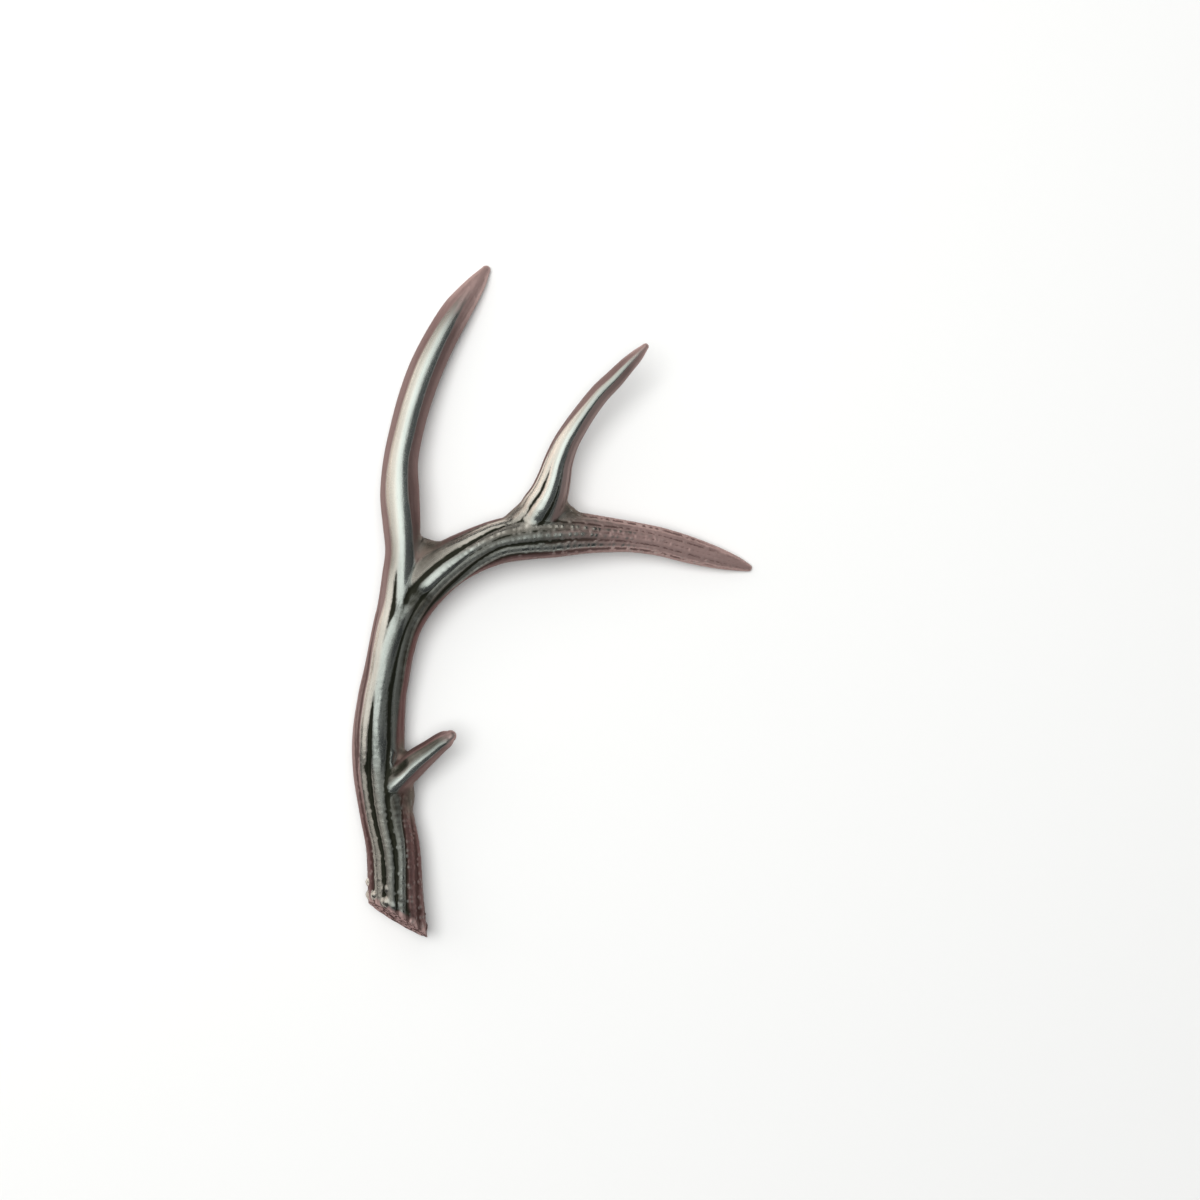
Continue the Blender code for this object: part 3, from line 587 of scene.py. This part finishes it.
def endCap(mesh):
    # Rings between the rim and its middle: rim + (middle - rim) * share, with shallow pits between.
    # The rim is the vertices of the edges that have one face.
    points = coordinates(mesh)
    normal = endNormal()
    edgeOfCorner = np.empty(len(mesh.loops), int)
    mesh.loops.foreach_get("edge_index", edgeOfCorner)
    isOpen = np.bincount(edgeOfCorner, minlength=len(mesh.edges)) == 1
    rim = np.unique(edgeEnds(mesh)[isOpen])
    side = np.cross(normal, (0, 0, 1))
    side /= np.linalg.norm(side)
    middle = points[rim].mean(0)
    turn = np.arctan2((points[rim] - middle) @ np.cross(side, normal), (points[rim] - middle) @ side)
    rim = rim[np.argsort(turn)]
    share = np.linspace(0, 1, sawnEnd["rings"] + 1)[1:-1] ** 0.8
    rings = points[rim][None] + (middle - points[rim])[None] * share[:, None, None]
    pits = wander(rings.reshape(-1, 3), 2.2, 3).reshape(rings.shape[:2])
    coarse = wander(rings.reshape(-1, 3), 5.5, 8).reshape(rings.shape[:2])
    drop = sawnEnd["relief"] * (1 + pits + 0.7 * coarse) * np.clip(share * 6, 0, 1)[:, None]
    rings = rings - normal * np.clip(drop, 0.02, None)[:, :, None]
    count, start = len(rim), len(points)
    rows = np.vstack([rim[None], start + np.arange(len(share) * count).reshape(len(share), count)])
    after = np.roll(rows, -1, axis=1)
    quads = np.stack([after[:-1], rows[:-1], rows[1:], after[1:]], -1).reshape(-1, 4)
    hub = start + len(share) * count
    fan = np.stack([after[-1], rows[-1], np.full(count, hub)], 1)
    verts = np.vstack([points, rings.reshape(-1, 3), middle - normal * sawnEnd["relief"]])
    sizes = np.empty(len(mesh.polygons), int)
    mesh.polygons.foreach_get("loop_total", sizes)
    corners = np.empty(len(mesh.loops), int)
    mesh.loops.foreach_get("vertex_index", corners)
    faces = [list(part) for part in np.split(corners, np.cumsum(sizes)[:-1])]
    capped = meshFrom("antler", verts, faces + quads.tolist() + fan.tolist())
    crisp = capped.attributes.new("sharp_edge", "BOOLEAN", "EDGE")
    crisp.data.foreach_set("value", np.isin(edgeEnds(capped), rim).all(axis=1))
    return capped, len(faces)


def wander(points, size, seed):
    # Smooth noise, mostly between -1 and 1: half the sum of four products of two slanted sines.
    rng = np.random.default_rng(seed)
    total = np.zeros(len(points))
    for k in range(4):
        ways = rng.normal(size=(2, 3))
        ways /= np.linalg.norm(ways, axis=1)[:, None]
        phase = points @ ways.T * (2 * np.pi / size) * (0.8 + 0.25 * k) + rng.uniform(0, 6, 2)
        total += np.sin(phase[:, 0]) * np.sin(phase[:, 1])
    return total / 2


def addMask(mesh, name, values):
    layer = mesh.attributes.new(name, "FLOAT", "POINT")
    layer.data.foreach_set("value", np.clip(values, 0, 1).astype(np.float32))


def addMasks(mesh):
    # Each mask is a mean over the branches, weighted by exp(-distance / nearestWins).
    # streak is a place on the branch's own round, so that fine lines follow the branch.
    # The pearls get a painted highlight: brighter on the left, less towards the right, only on their
    # upward faces, and unevenly from one to the next.
    points = coordinates(mesh)
    total, parts, fields = antlerField(points)
    slope = gradient(points, total)
    slope /= np.linalg.norm(slope, axis=1)[:, None]
    names = list(fields)
    closeness = np.stack([np.exp(-np.clip(fields[n], -20, 20) / masks["nearestWins"]) for n in names])
    closeness /= closeness.sum(0)

    def mean(key):
        return sum(closeness[k] * parts[n][key] for k, n in enumerate(names))

    furrow = sum(share * parts[n]["valley"] * np.clip(parts[n]["depth"] / masks["fullFurrow"], 0, 1)
                 for share, n in zip(closeness, names))
    ordered = np.sort(np.stack([fields[n] for n in names]), axis=0)
    calm = parts["beam"]["calm"]
    crease = np.clip(1 - (ordered[1] - ordered[0]) / masks["creaseWidth"], 0, 1) * (1 - calm)
    tip = sum(closeness[names.index(n)] * share * np.clip((parts[n]["along"] - at) / (full - at), 0, 1)
              for n, (at, full, share) in tips.items())
    nearEnd = np.abs((points - sawnEnd["point"]) @ endNormal())
    paintedPearlHighlight = np.zeros(len(points))
    close = nearEnd < pearls["reach"]
    gap = np.linalg.norm(points[close][:, None] - pearls["centres"][None, :, :3], axis=2)
    gap -= pearls["centres"][None, :, 3]
    nearest = gap.argmin(axis=1)
    # Painted highlight on the pearls: brighter towards the left and on upward faces.
    side = pearls["centres"][nearest, 0] - sawnEnd["point"][0]
    shine = 0.2 - side / 16 + 0.4 * np.sin(2.7 * nearest + 0.4)
    paintedPearlHighlight[close] = np.clip(1.4 - gap.min(axis=1) / masks["pearlEdge"], 0, 1) * np.clip(shine, 0, 1)
    paintedPearlHighlight *= np.clip(slope[:, 2] * 1.8, 0, 1)
    # The dents darken like the furrows: patina in the brow tine's pit, painted shade in the crotch at
    # the tall tine's fork.
    hollow = np.clip(parts["beam"]["hollow"] / masks["fullDent"], 0, 1)
    raised = np.clip(-parts["beam"]["hollow"] / masks["fullBump"], 0, 1)
    addMask(mesh, "furrow", 1.2 * furrow * (1 - calm) + 0.45 * crease + hollow - 0.6 * paintedPearlHighlight)
    bead = mean("bead")
    polish = (mean("polish") + 1.3 * bead) * (1 - 0.75 * calm) * (1 - hollow)
    addMask(mesh, "polish", polish + 0.6 * paintedPearlHighlight + 0.4 * raised)
    edgeBand = np.clip(1.7 - nearEnd / masks["edgeBand"], 0, 1)
    # On the flanks this mask is a painted red reflection and rimLight its painted light and shade; next
    # to the sawn end it is tarnish.
    tarnishAndReflection = mean("tarnishAndReflection") * (1 - 0.5 * calm) * (1 - hollow) * (1 - raised)
    addMask(mesh, "tarnishAndReflection", np.maximum(tarnishAndReflection, edgeBand) - paintedPearlHighlight)
    addMask(mesh, "rimLight", np.maximum(mean("light"), 0.8 * edgeBand))
    addMask(mesh, "web", calm)
    addMask(mesh, "pebble", mean("pebble") - paintedPearlHighlight)
    addMask(mesh, "rightSide", mean("turn") / 90 + 0.5)
    addMask(mesh, "tip", tip - 0.9 * bead)
    addMask(mesh, "burr", 1 - nearEnd / masks["burrReach"] - paintedPearlHighlight)
    streak = np.zeros_like(points)
    for k, n in enumerate(names):
        turn = np.radians(parts[n]["turn"])
        place = np.column_stack([parts[n]["wide"] * np.sin(turn), parts[n]["wide"] * np.cos(turn),
                                 points @ (0.03, 0.06, 0.02)])
        streak += closeness[k][:, None] * place
    layer = mesh.attributes.new("streak", "FLOAT_VECTOR", "POINT")
    layer.data.foreach_set("vector", streak.astype(np.float32).ravel())


def wholeSkin():
    # The fused tubes, drawn onto the field's zero surface and evened out, then sawn and capped.
    fused = fusedTubes()
    print("fused skin:", len(fused.polygons), "faces")
    points = coordinates(fused)
    edges = edgeEnds(fused)
    points = pulledOnto(points)
    for _ in range(skin["relaxRounds"]):
        points = pulledOnto(relaxed(points, edges, skin["relaxShare"]))
    points = pulledOnto(points)
    points[:, 2] = np.maximum(points[:, 2], 0)
    fused.vertices.foreach_set("co", (points * mm).ravel())
    fused.update()
    print("pulled onto the antler's form")
    sawOff(fused)
    capped, skinFaces = endCap(fused)
    addMasks(capped)
    capped.polygons.foreach_set("use_smooth", np.ones(len(capped.polygons), bool))
    index = np.zeros(len(capped.polygons), int)
    index[skinFaces:] = 1
    capped.polygons.foreach_set("material_index", index)
    return capped


# Finishes. Colours are linear.
metalLooks = {
    # cream and silver are painted tints of the reflections on left-facing and right-facing slopes.
    "cream": (0.97, 0.905, 0.80), "silver": (0.87, 0.93, 0.865),
    "dark": (0.043, 0.040, 0.030), "patina": (0.019, 0.021, 0.0135),
    # The left and right flank colours are a painted red reflection, paler on the left as painted light
    # and darker on the right as painted shade.
    "leftPaleReflection": (0.36, 0.25, 0.235), "leftShadedReflection": (0.135, 0.063, 0.060),
    "rightPaleReflection": (0.31, 0.225, 0.21), "rightShadedReflection": (0.125, 0.056, 0.052),
    "tipTarnish": (0.50, 0.335, 0.31), "furrowTarnish": (0.050, 0.024, 0.020),
    "webTarnish": (0.16, 0.125, 0.098),
    # edgeTint reddens the reflections at grazing angles: a painted red reflection.
    "dullMetallic": 0.55, "edgeTint": (0.55, 0.42, 0.40), "specular": 0.35,
    "roughness": 0.25, "patinaRoughness": 0.42, "bumpHeight": 0.00045, "grain": 0.14,
}
sawnLooks = {"metal": (0.48, 0.31, 0.29), "patina": (0.07, 0.035, 0.03), "roughness": 0.5,
             "patinaRoughness": 0.7, "metallic": 0.5, "pitScale": 420, "pitDepth": 0.0003}
# Pattern sizes count per metre, and the streaks' per millimetre.
patternScales = {"blotch": 90, "fine": 900, "lines": 0.9, "pebbles": 290, "tarnishAndReflection": 60,
                 "tarnishAndReflectionLines": 0.5}


def newGroup(name, inputs, outputs):
    group = bpy.data.node_groups.new(name, "ShaderNodeTree")
    for label, kind, value in inputs:
        socket = group.interface.new_socket(name=label, in_out="INPUT", socket_type=kind)
        if value is not None:
            socket.default_value = value
    for label, kind in outputs:
        group.interface.new_socket(name=label, in_out="OUTPUT", socket_type=kind)
    return group, group.nodes.new("NodeGroupInput"), group.nodes.new("NodeGroupOutput")


def mathNode(tree, operation, a, b=None, clamp=False):
    node = tree.nodes.new("ShaderNodeMath")
    node.operation = operation
    node.use_clamp = clamp
    for socket, value in zip(node.inputs, (a, b)):
        if isinstance(value, (int, float)):
            socket.default_value = value
        elif value is not None:
            tree.links.new(value, socket)
    return node.outputs[0]


def rangeNode(tree, value, low, high, outLow=0.0, outHigh=1.0):
    node = tree.nodes.new("ShaderNodeMapRange")
    node.interpolation_type = "SMOOTHSTEP"
    tree.links.new(value, node.inputs["Value"])
    limits = {"From Min": low, "From Max": high, "To Min": outLow, "To Max": outHigh}
    for label, number in limits.items():
        node.inputs[label].default_value = number
    return node.outputs["Result"]


def mixColour(tree, factor, a, b):
    node = tree.nodes.new("ShaderNodeMix")
    node.data_type = "RGBA"
    tree.links.new(factor, node.inputs["Factor"])
    sockets = [socket for socket in node.inputs if socket.type == "RGBA"]
    for socket, value in zip(sockets, (a, b)):
        if isinstance(value, tuple):
            socket.default_value = (*value, 1)
        else:
            tree.links.new(value, socket)
    return next(socket for socket in node.outputs if socket.type == "RGBA")


def noiseNode(tree, scale, detail=4.0, roughness=0.55, distortion=0.0, vector=None):
    node = tree.nodes.new("ShaderNodeTexNoise")
    if vector is None:
        vector = tree.nodes.new("ShaderNodeTexCoord").outputs["Object"]
    tree.links.new(vector, node.inputs["Vector"])
    node.inputs["Scale"].default_value = scale
    node.inputs["Detail"].default_value = detail
    node.inputs["Roughness"].default_value = roughness
    node.inputs["Distortion"].default_value = distortion
    return node.outputs["Fac"]


def centred(tree, value, size):
    # (value - 0.5) * size
    return mathNode(tree, "MULTIPLY", mathNode(tree, "SUBTRACT", value, 0.5), size)


def agedMetalGroup():
    # Patina gathers where the furrow mask and the noise add up to between 0.25 and 0.74.
    # The streaks are a noise drawn out along the branch. Pebbles are the rounded cells of a Voronoi
    # pattern, high where the distance to a cell's middle is small, with patina in the gaps.
    group, enter, leave = newGroup("agedMetal", (
        ("Metal", "NodeSocketColor", (0.8, 0.8, 0.75, 1)),
        ("Dark", "NodeSocketColor", (0.04, 0.04, 0.03, 1)),
        ("Patina", "NodeSocketColor", (0.02, 0.02, 0.02, 1)),
        ("Polish", "NodeSocketFloat", 1.0),
        ("Furrow", "NodeSocketFloat", 0.0),
        ("Roughness", "NodeSocketFloat", 0.25),
        ("Patina Roughness", "NodeSocketFloat", 0.5),
        ("Streak", "NodeSocketVector", None),
        ("Pebble", "NodeSocketFloat", 0.0),
        ("Grain", "NodeSocketFloat", 0.1),
    ), (("Color", "NodeSocketColor"), ("Roughness", "NodeSocketFloat"), ("Height", "NodeSocketFloat"),
        ("Dirt", "NodeSocketFloat"), ("Top", "NodeSocketFloat")))
    blotch = noiseNode(group, patternScales["blotch"], 5, 0.6, 0.4)
    fine = noiseNode(group, patternScales["fine"], 3, 0.6)
    lines = noiseNode(group, patternScales["lines"], 4, 0.65, 0.0, enter.outputs["Streak"])
    cells = group.nodes.new("ShaderNodeTexVoronoi")
    cells.inputs["Scale"].default_value = patternScales["pebbles"]
    group.links.new(group.nodes.new("ShaderNodeTexCoord").outputs["Object"], cells.inputs["Vector"])
    dome = rangeNode(group, cells.outputs["Distance"], 0.05, 0.62, 1.0, 0.0)
    pebble = mathNode(group, "MULTIPLY", dome, enter.outputs["Pebble"])
    gaps = mathNode(group, "MULTIPLY", enter.outputs["Pebble"], 0.42)
    gaps = mathNode(group, "SUBTRACT", gaps, pebble)
    spread = mathNode(group, "ADD", centred(group, blotch, 0.35), centred(group, lines, 0.5))
    spread = mathNode(group, "ADD", spread, mathNode(group, "MULTIPLY", gaps, 0.9))
    spread = mathNode(group, "ADD", spread, centred(group, fine, 0.3))
    dirty = rangeNode(group, mathNode(group, "ADD", enter.outputs["Furrow"], spread), 0.25, 0.74)
    top = mathNode(group, "MULTIPLY", mathNode(group, "POWER", pebble, 2.0), 0.32)
    shine = mathNode(group, "ADD", enter.outputs["Polish"], top, True)
    metal = mixColour(group, shine, enter.outputs["Dark"], enter.outputs["Metal"])
    group.links.new(mixColour(group, dirty, metal, enter.outputs["Patina"]), leave.inputs["Color"])
    group.links.new(dirty, leave.inputs["Dirt"])
    mix = group.nodes.new("ShaderNodeMix")
    for socket, value in zip(mix.inputs[:1] + mix.inputs[2:4],
                             (dirty, enter.outputs["Roughness"], enter.outputs["Patina Roughness"])):
        group.links.new(value, socket)
    wear = mathNode(group, "ADD", centred(group, blotch, 0.14), centred(group, lines, 0.18))
    group.links.new(mathNode(group, "ADD", mix.outputs[0], wear), leave.inputs["Roughness"])
    coarse = mathNode(group, "ADD", blotch, lines)
    grain = mathNode(group, "ADD", mathNode(group, "MULTIPLY", fine, 0.5), coarse)
    grain = mathNode(group, "MULTIPLY", grain, enter.outputs["Grain"])
    group.links.new(mathNode(group, "ADD", grain, pebble), leave.inputs["Height"])
    group.links.new(top, leave.inputs["Top"])
    return group


def attributeNode(tree, name, output="Fac"):
    node = tree.nodes.new("ShaderNodeAttribute")
    node.attribute_name = name
    return node.outputs[output]


def useGroup(tree, group, values):
    node = tree.nodes.new("ShaderNodeGroup")
    node.node_tree = group
    for label, value in values.items():
        if isinstance(value, tuple):
            node.inputs[label].default_value = (*value, 1)
        elif isinstance(value, (int, float)):
            node.inputs[label].default_value = value
        else:
            tree.links.new(value, node.inputs[label])
    return node


def bumped(tree, shader, height, distance):
    bump = tree.nodes.new("ShaderNodeBump")
    bump.inputs["Distance"].default_value = distance
    tree.links.new(height, bump.inputs["Height"])
    tree.links.new(bump.outputs["Normal"], shader.inputs["Normal"])


def newMetal(name):
    material = bpy.data.materials.new(name)
    material.use_nodes = True
    shader = material.node_tree.nodes["Principled BSDF"]
    shader.inputs["Metallic"].default_value = 1.0
    shader.inputs["Specular IOR Level"].default_value = metalLooks["specular"]
    shader.inputs["Specular Tint"].default_value = (*metalLooks["edgeTint"], 1)
    return material, material.node_tree, shader


def antlerMaterial(group):
    # Bright where it is polished and dark where it isn't, patina in the furrows, and a red-brown
    # tarnish on the tips and the burr. The red-brown on the flanks is a painted reflection of red
    # surroundings;
    # its lightness, set along each branch and darker on the right, is painted light and shade.
    material, tree, shader = newMetal("agedSilverMetal")
    streak = attributeNode(tree, "streak", "Vector")
    blotch = centred(tree, noiseNode(tree, patternScales["tarnishAndReflection"], 4, 0.55, 0.3), 0.35)
    lines = centred(tree, noiseNode(tree, patternScales["tarnishAndReflectionLines"], 3, 0.6, 0.0, streak), 0.35)
    uneven = mathNode(tree, "ADD", blotch, lines)
    polish = attributeNode(tree, "polish")
    shift = mathNode(tree, "MULTIPLY", uneven, 0.5)
    # The metal is cream where it faces left and cooler silver where it faces right: a painted tint of
    # the reflections.
    metal = mixColour(tree, rangeNode(tree, attributeNode(tree, "rightSide"), 0.3, 0.52),
                      metalLooks["cream"], metalLooks["silver"])
    worn = useGroup(tree, group, {
        "Metal": metal, "Dark": metalLooks["dark"], "Patina": metalLooks["patina"],
        "Polish": mathNode(tree, "ADD", polish, shift, True), "Furrow": attributeNode(tree, "furrow"),
        "Roughness": metalLooks["roughness"], "Patina Roughness": metalLooks["patinaRoughness"],
        "Streak": streak, "Pebble": attributeNode(tree, "pebble"), "Grain": metalLooks["grain"]})
    # flank is a painted red reflection on the flanks, paler on the left and darker on the right as
    # painted light and shade.
    flank = mathNode(tree, "ADD", attributeNode(tree, "tarnishAndReflection"), uneven)
    flank = rangeNode(tree, flank, 0.15, 0.85, 0, 0.93)
    side = rangeNode(tree, attributeNode(tree, "rightSide"), 0.3, 0.7)
    pale = mathNode(tree, "MULTIPLY", uneven, 0.8)
    pale = mathNode(tree, "ADD", attributeNode(tree, "rimLight"), pale, True)
    leftFlank = mixColour(tree, pale, metalLooks["leftShadedReflection"], metalLooks["leftPaleReflection"])
    rightFlank = mixColour(tree, pale, metalLooks["rightShadedReflection"], metalLooks["rightPaleReflection"])
    flankColour = mixColour(tree, side, leftFlank, rightFlank)
    tip = rangeNode(tree, mathNode(tree, "ADD", attributeNode(tree, "tip"), uneven), 0.1, 0.8, 0.0, 0.92)
    burr = mathNode(tree, "ADD", attributeNode(tree, "burr"), uneven)
    burr = rangeNode(tree, burr, 0.7, 0.95, 0.0, 0.75)
    ends = mathNode(tree, "MAXIMUM", tip, burr)
    reflectionAndRust = mixColour(tree, ends, flankColour, metalLooks["tipTarnish"])
    reflectionAndRust = mixColour(tree, attributeNode(tree, "web"), reflectionAndRust, metalLooks["webTarnish"])
    inFurrow = mathNode(tree, "MULTIPLY", worn.outputs["Dirt"], 0.7)
    reflectionAndRust = mixColour(tree, inFurrow, reflectionAndRust, metalLooks["furrowTarnish"])
    covered = mathNode(tree, "MAXIMUM", flank, ends)
    covered = mathNode(tree, "SUBTRACT", covered, worn.outputs["Top"], True)
    tree.links.new(mixColour(tree, covered, worn.outputs["Color"], reflectionAndRust), shader.inputs["Base Color"])
    plain = rangeNode(tree, mathNode(tree, "ADD", polish, shift), 0.05, 0.5, 1.0, 0.0)
    matt = mathNode(tree, "MAXIMUM", mathNode(tree, "MAXIMUM", covered, worn.outputs["Dirt"]), plain)
    metallic = rangeNode(tree, matt, 0.1, 0.95, 1.0, metalLooks["dullMetallic"])
    tree.links.new(metallic, shader.inputs["Metallic"])
    dull = mathNode(tree, "MULTIPLY", covered, 0.10)
    dull = mathNode(tree, "ADD", worn.outputs["Roughness"], dull, True)
    tree.links.new(dull, shader.inputs["Roughness"])
    bumped(tree, shader, worn.outputs["Height"], metalLooks["bumpHeight"])
    return material


def sawnMaterial(group):
    # The open end: matt reddish metal with dark pits.
    material, tree, shader = newMetal("sawnMetal")
    shader.inputs["Metallic"].default_value = sawnLooks["metallic"]
    pits = rangeNode(tree, noiseNode(tree, sawnLooks["pitScale"], 3, 0.5), 0.36, 0.62, 1.0, 0.0)
    worn = useGroup(tree, group, {
        "Metal": sawnLooks["metal"], "Patina": sawnLooks["patina"], "Furrow": pits,
        "Roughness": sawnLooks["roughness"], "Patina Roughness": sawnLooks["patinaRoughness"],
        "Streak": attributeNode(tree, "streak", "Vector"), "Grain": 1.0})
    tree.links.new(worn.outputs["Color"], shader.inputs["Base Color"])
    tree.links.new(worn.outputs["Roughness"], shader.inputs["Roughness"])
    height = mathNode(tree, "SUBTRACT", worn.outputs["Height"], pits)
    bumped(tree, shader, height, sawnLooks["pitDepth"])
    return material


for branch in (beam, tallTine, foreTine, browTine):
    prepare(branch)
pearls["centres"] = pearlCentres()
mesh = wholeSkin()
aged = agedMetalGroup()
mesh.materials.append(antlerMaterial(aged))
mesh.materials.append(sawnMaterial(aged))
antler = bpy.data.objects.new("antler", mesh)
bpy.context.scene.collection.objects.link(antler)
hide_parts("main_beam", "fore_beam", "tall_tine", "fore_tine", "brow_tine")
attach(antler, "root")
print("antler:", len(mesh.polygons), "faces")

# Floor, lights and camera. Lengths are metres here.
studio = {
    "floor": (0.86, 0.86, 0.85), "floorRoughness": 0.8, "floorSpecular": 0.2, "floorSize": 30.0,
    "world": (0.075, 0.077, 0.080),
    "softboxes": [
        {"watts": 12.0, "at": (-0.75, 0.75, 1.1), "towards": (-0.75, 0.75, 0), "size": (2.3, 2.3),
         "colour": (0.98, 1.0, 0.985)},
        {"watts": 0.7, "at": (-0.42, 0.42, 1.35), "towards": (-0.42, 0.42, 0), "size": (1.0, 1.0),
         "colour": (1.0, 1.0, 1.0)},
        {"watts": 2.7, "at": (-1.3, 0.62, 0.45), "towards": (0, 0, 0), "size": (1.5, 0.75),
         "colour": (1.0, 0.90, 0.85)},
    ],
    "fillStrength": 2.5, "fillAngle": 40, "fillTilt": (0.1, -0.1),
}
view = {"at": (0.030, 0.0, 1.807), "lens": 85, "sensor": 36}


def makeFloor():
    half = studio["floorSize"] / 2
    corners = np.array([(-half, -half, 0), (half, -half, 0), (half, half, 0), (-half, half, 0)]) / mm
    floor = bpy.data.objects.new("floor", meshFrom("floor", corners, [(0, 1, 2, 3)]))
    material = bpy.data.materials.new("paleFloor")
    material.use_nodes = True
    shader = material.node_tree.nodes["Principled BSDF"]
    shader.inputs["Base Color"].default_value = (*studio["floor"], 1)
    shader.inputs["Roughness"].default_value = studio["floorRoughness"]
    shader.inputs["Specular IOR Level"].default_value = studio["floorSpecular"]
    floor.data.materials.append(material)
    bpy.context.scene.collection.objects.link(floor)


def makeLights():
    for k, box in enumerate(studio["softboxes"]):
        light = bpy.data.lights.new(f"softbox{k}", "AREA")
        light.energy = box["watts"]
        light.color = box["colour"]
        light.shape = "RECTANGLE"
        light.size, light.size_y = box["size"]
        lamp = bpy.data.objects.new(f"softbox{k}", light)
        lamp.location = box["at"]
        way = Vector(box["at"]) - Vector(box["towards"])
        lamp.rotation_euler = way.to_track_quat("Z", "Y").to_euler()
        lamp.visible_camera = False
        bpy.context.scene.collection.objects.link(lamp)
    fill = bpy.data.lights.new("fill", "SUN")
    fill.energy = studio["fillStrength"]
    fill.angle = np.radians(studio["fillAngle"])
    lamp = bpy.data.objects.new("fill", fill)
    lamp.rotation_euler = (studio["fillTilt"][1], -studio["fillTilt"][0], 0)
    lamp.visible_glossy = False
    bpy.context.scene.collection.objects.link(lamp)
    world = bpy.data.worlds.new("studio")
    world.use_nodes = True
    world.node_tree.nodes["Background"].inputs["Color"].default_value = (*studio["world"], 1)
    bpy.context.scene.world = world


def makeCamera():
    lens = bpy.data.cameras.new("camera")
    lens.lens = view["lens"]
    lens.sensor_width = view["sensor"]
    camera = bpy.data.objects.new("camera", lens)
    camera.location = view["at"]
    bpy.context.scene.collection.objects.link(camera)
    bpy.context.scene.camera = camera


makeFloor()
makeLights()
makeCamera()
bpy.context.scene.view_settings.view_transform = "Standard"
print("floor, lights and camera set")
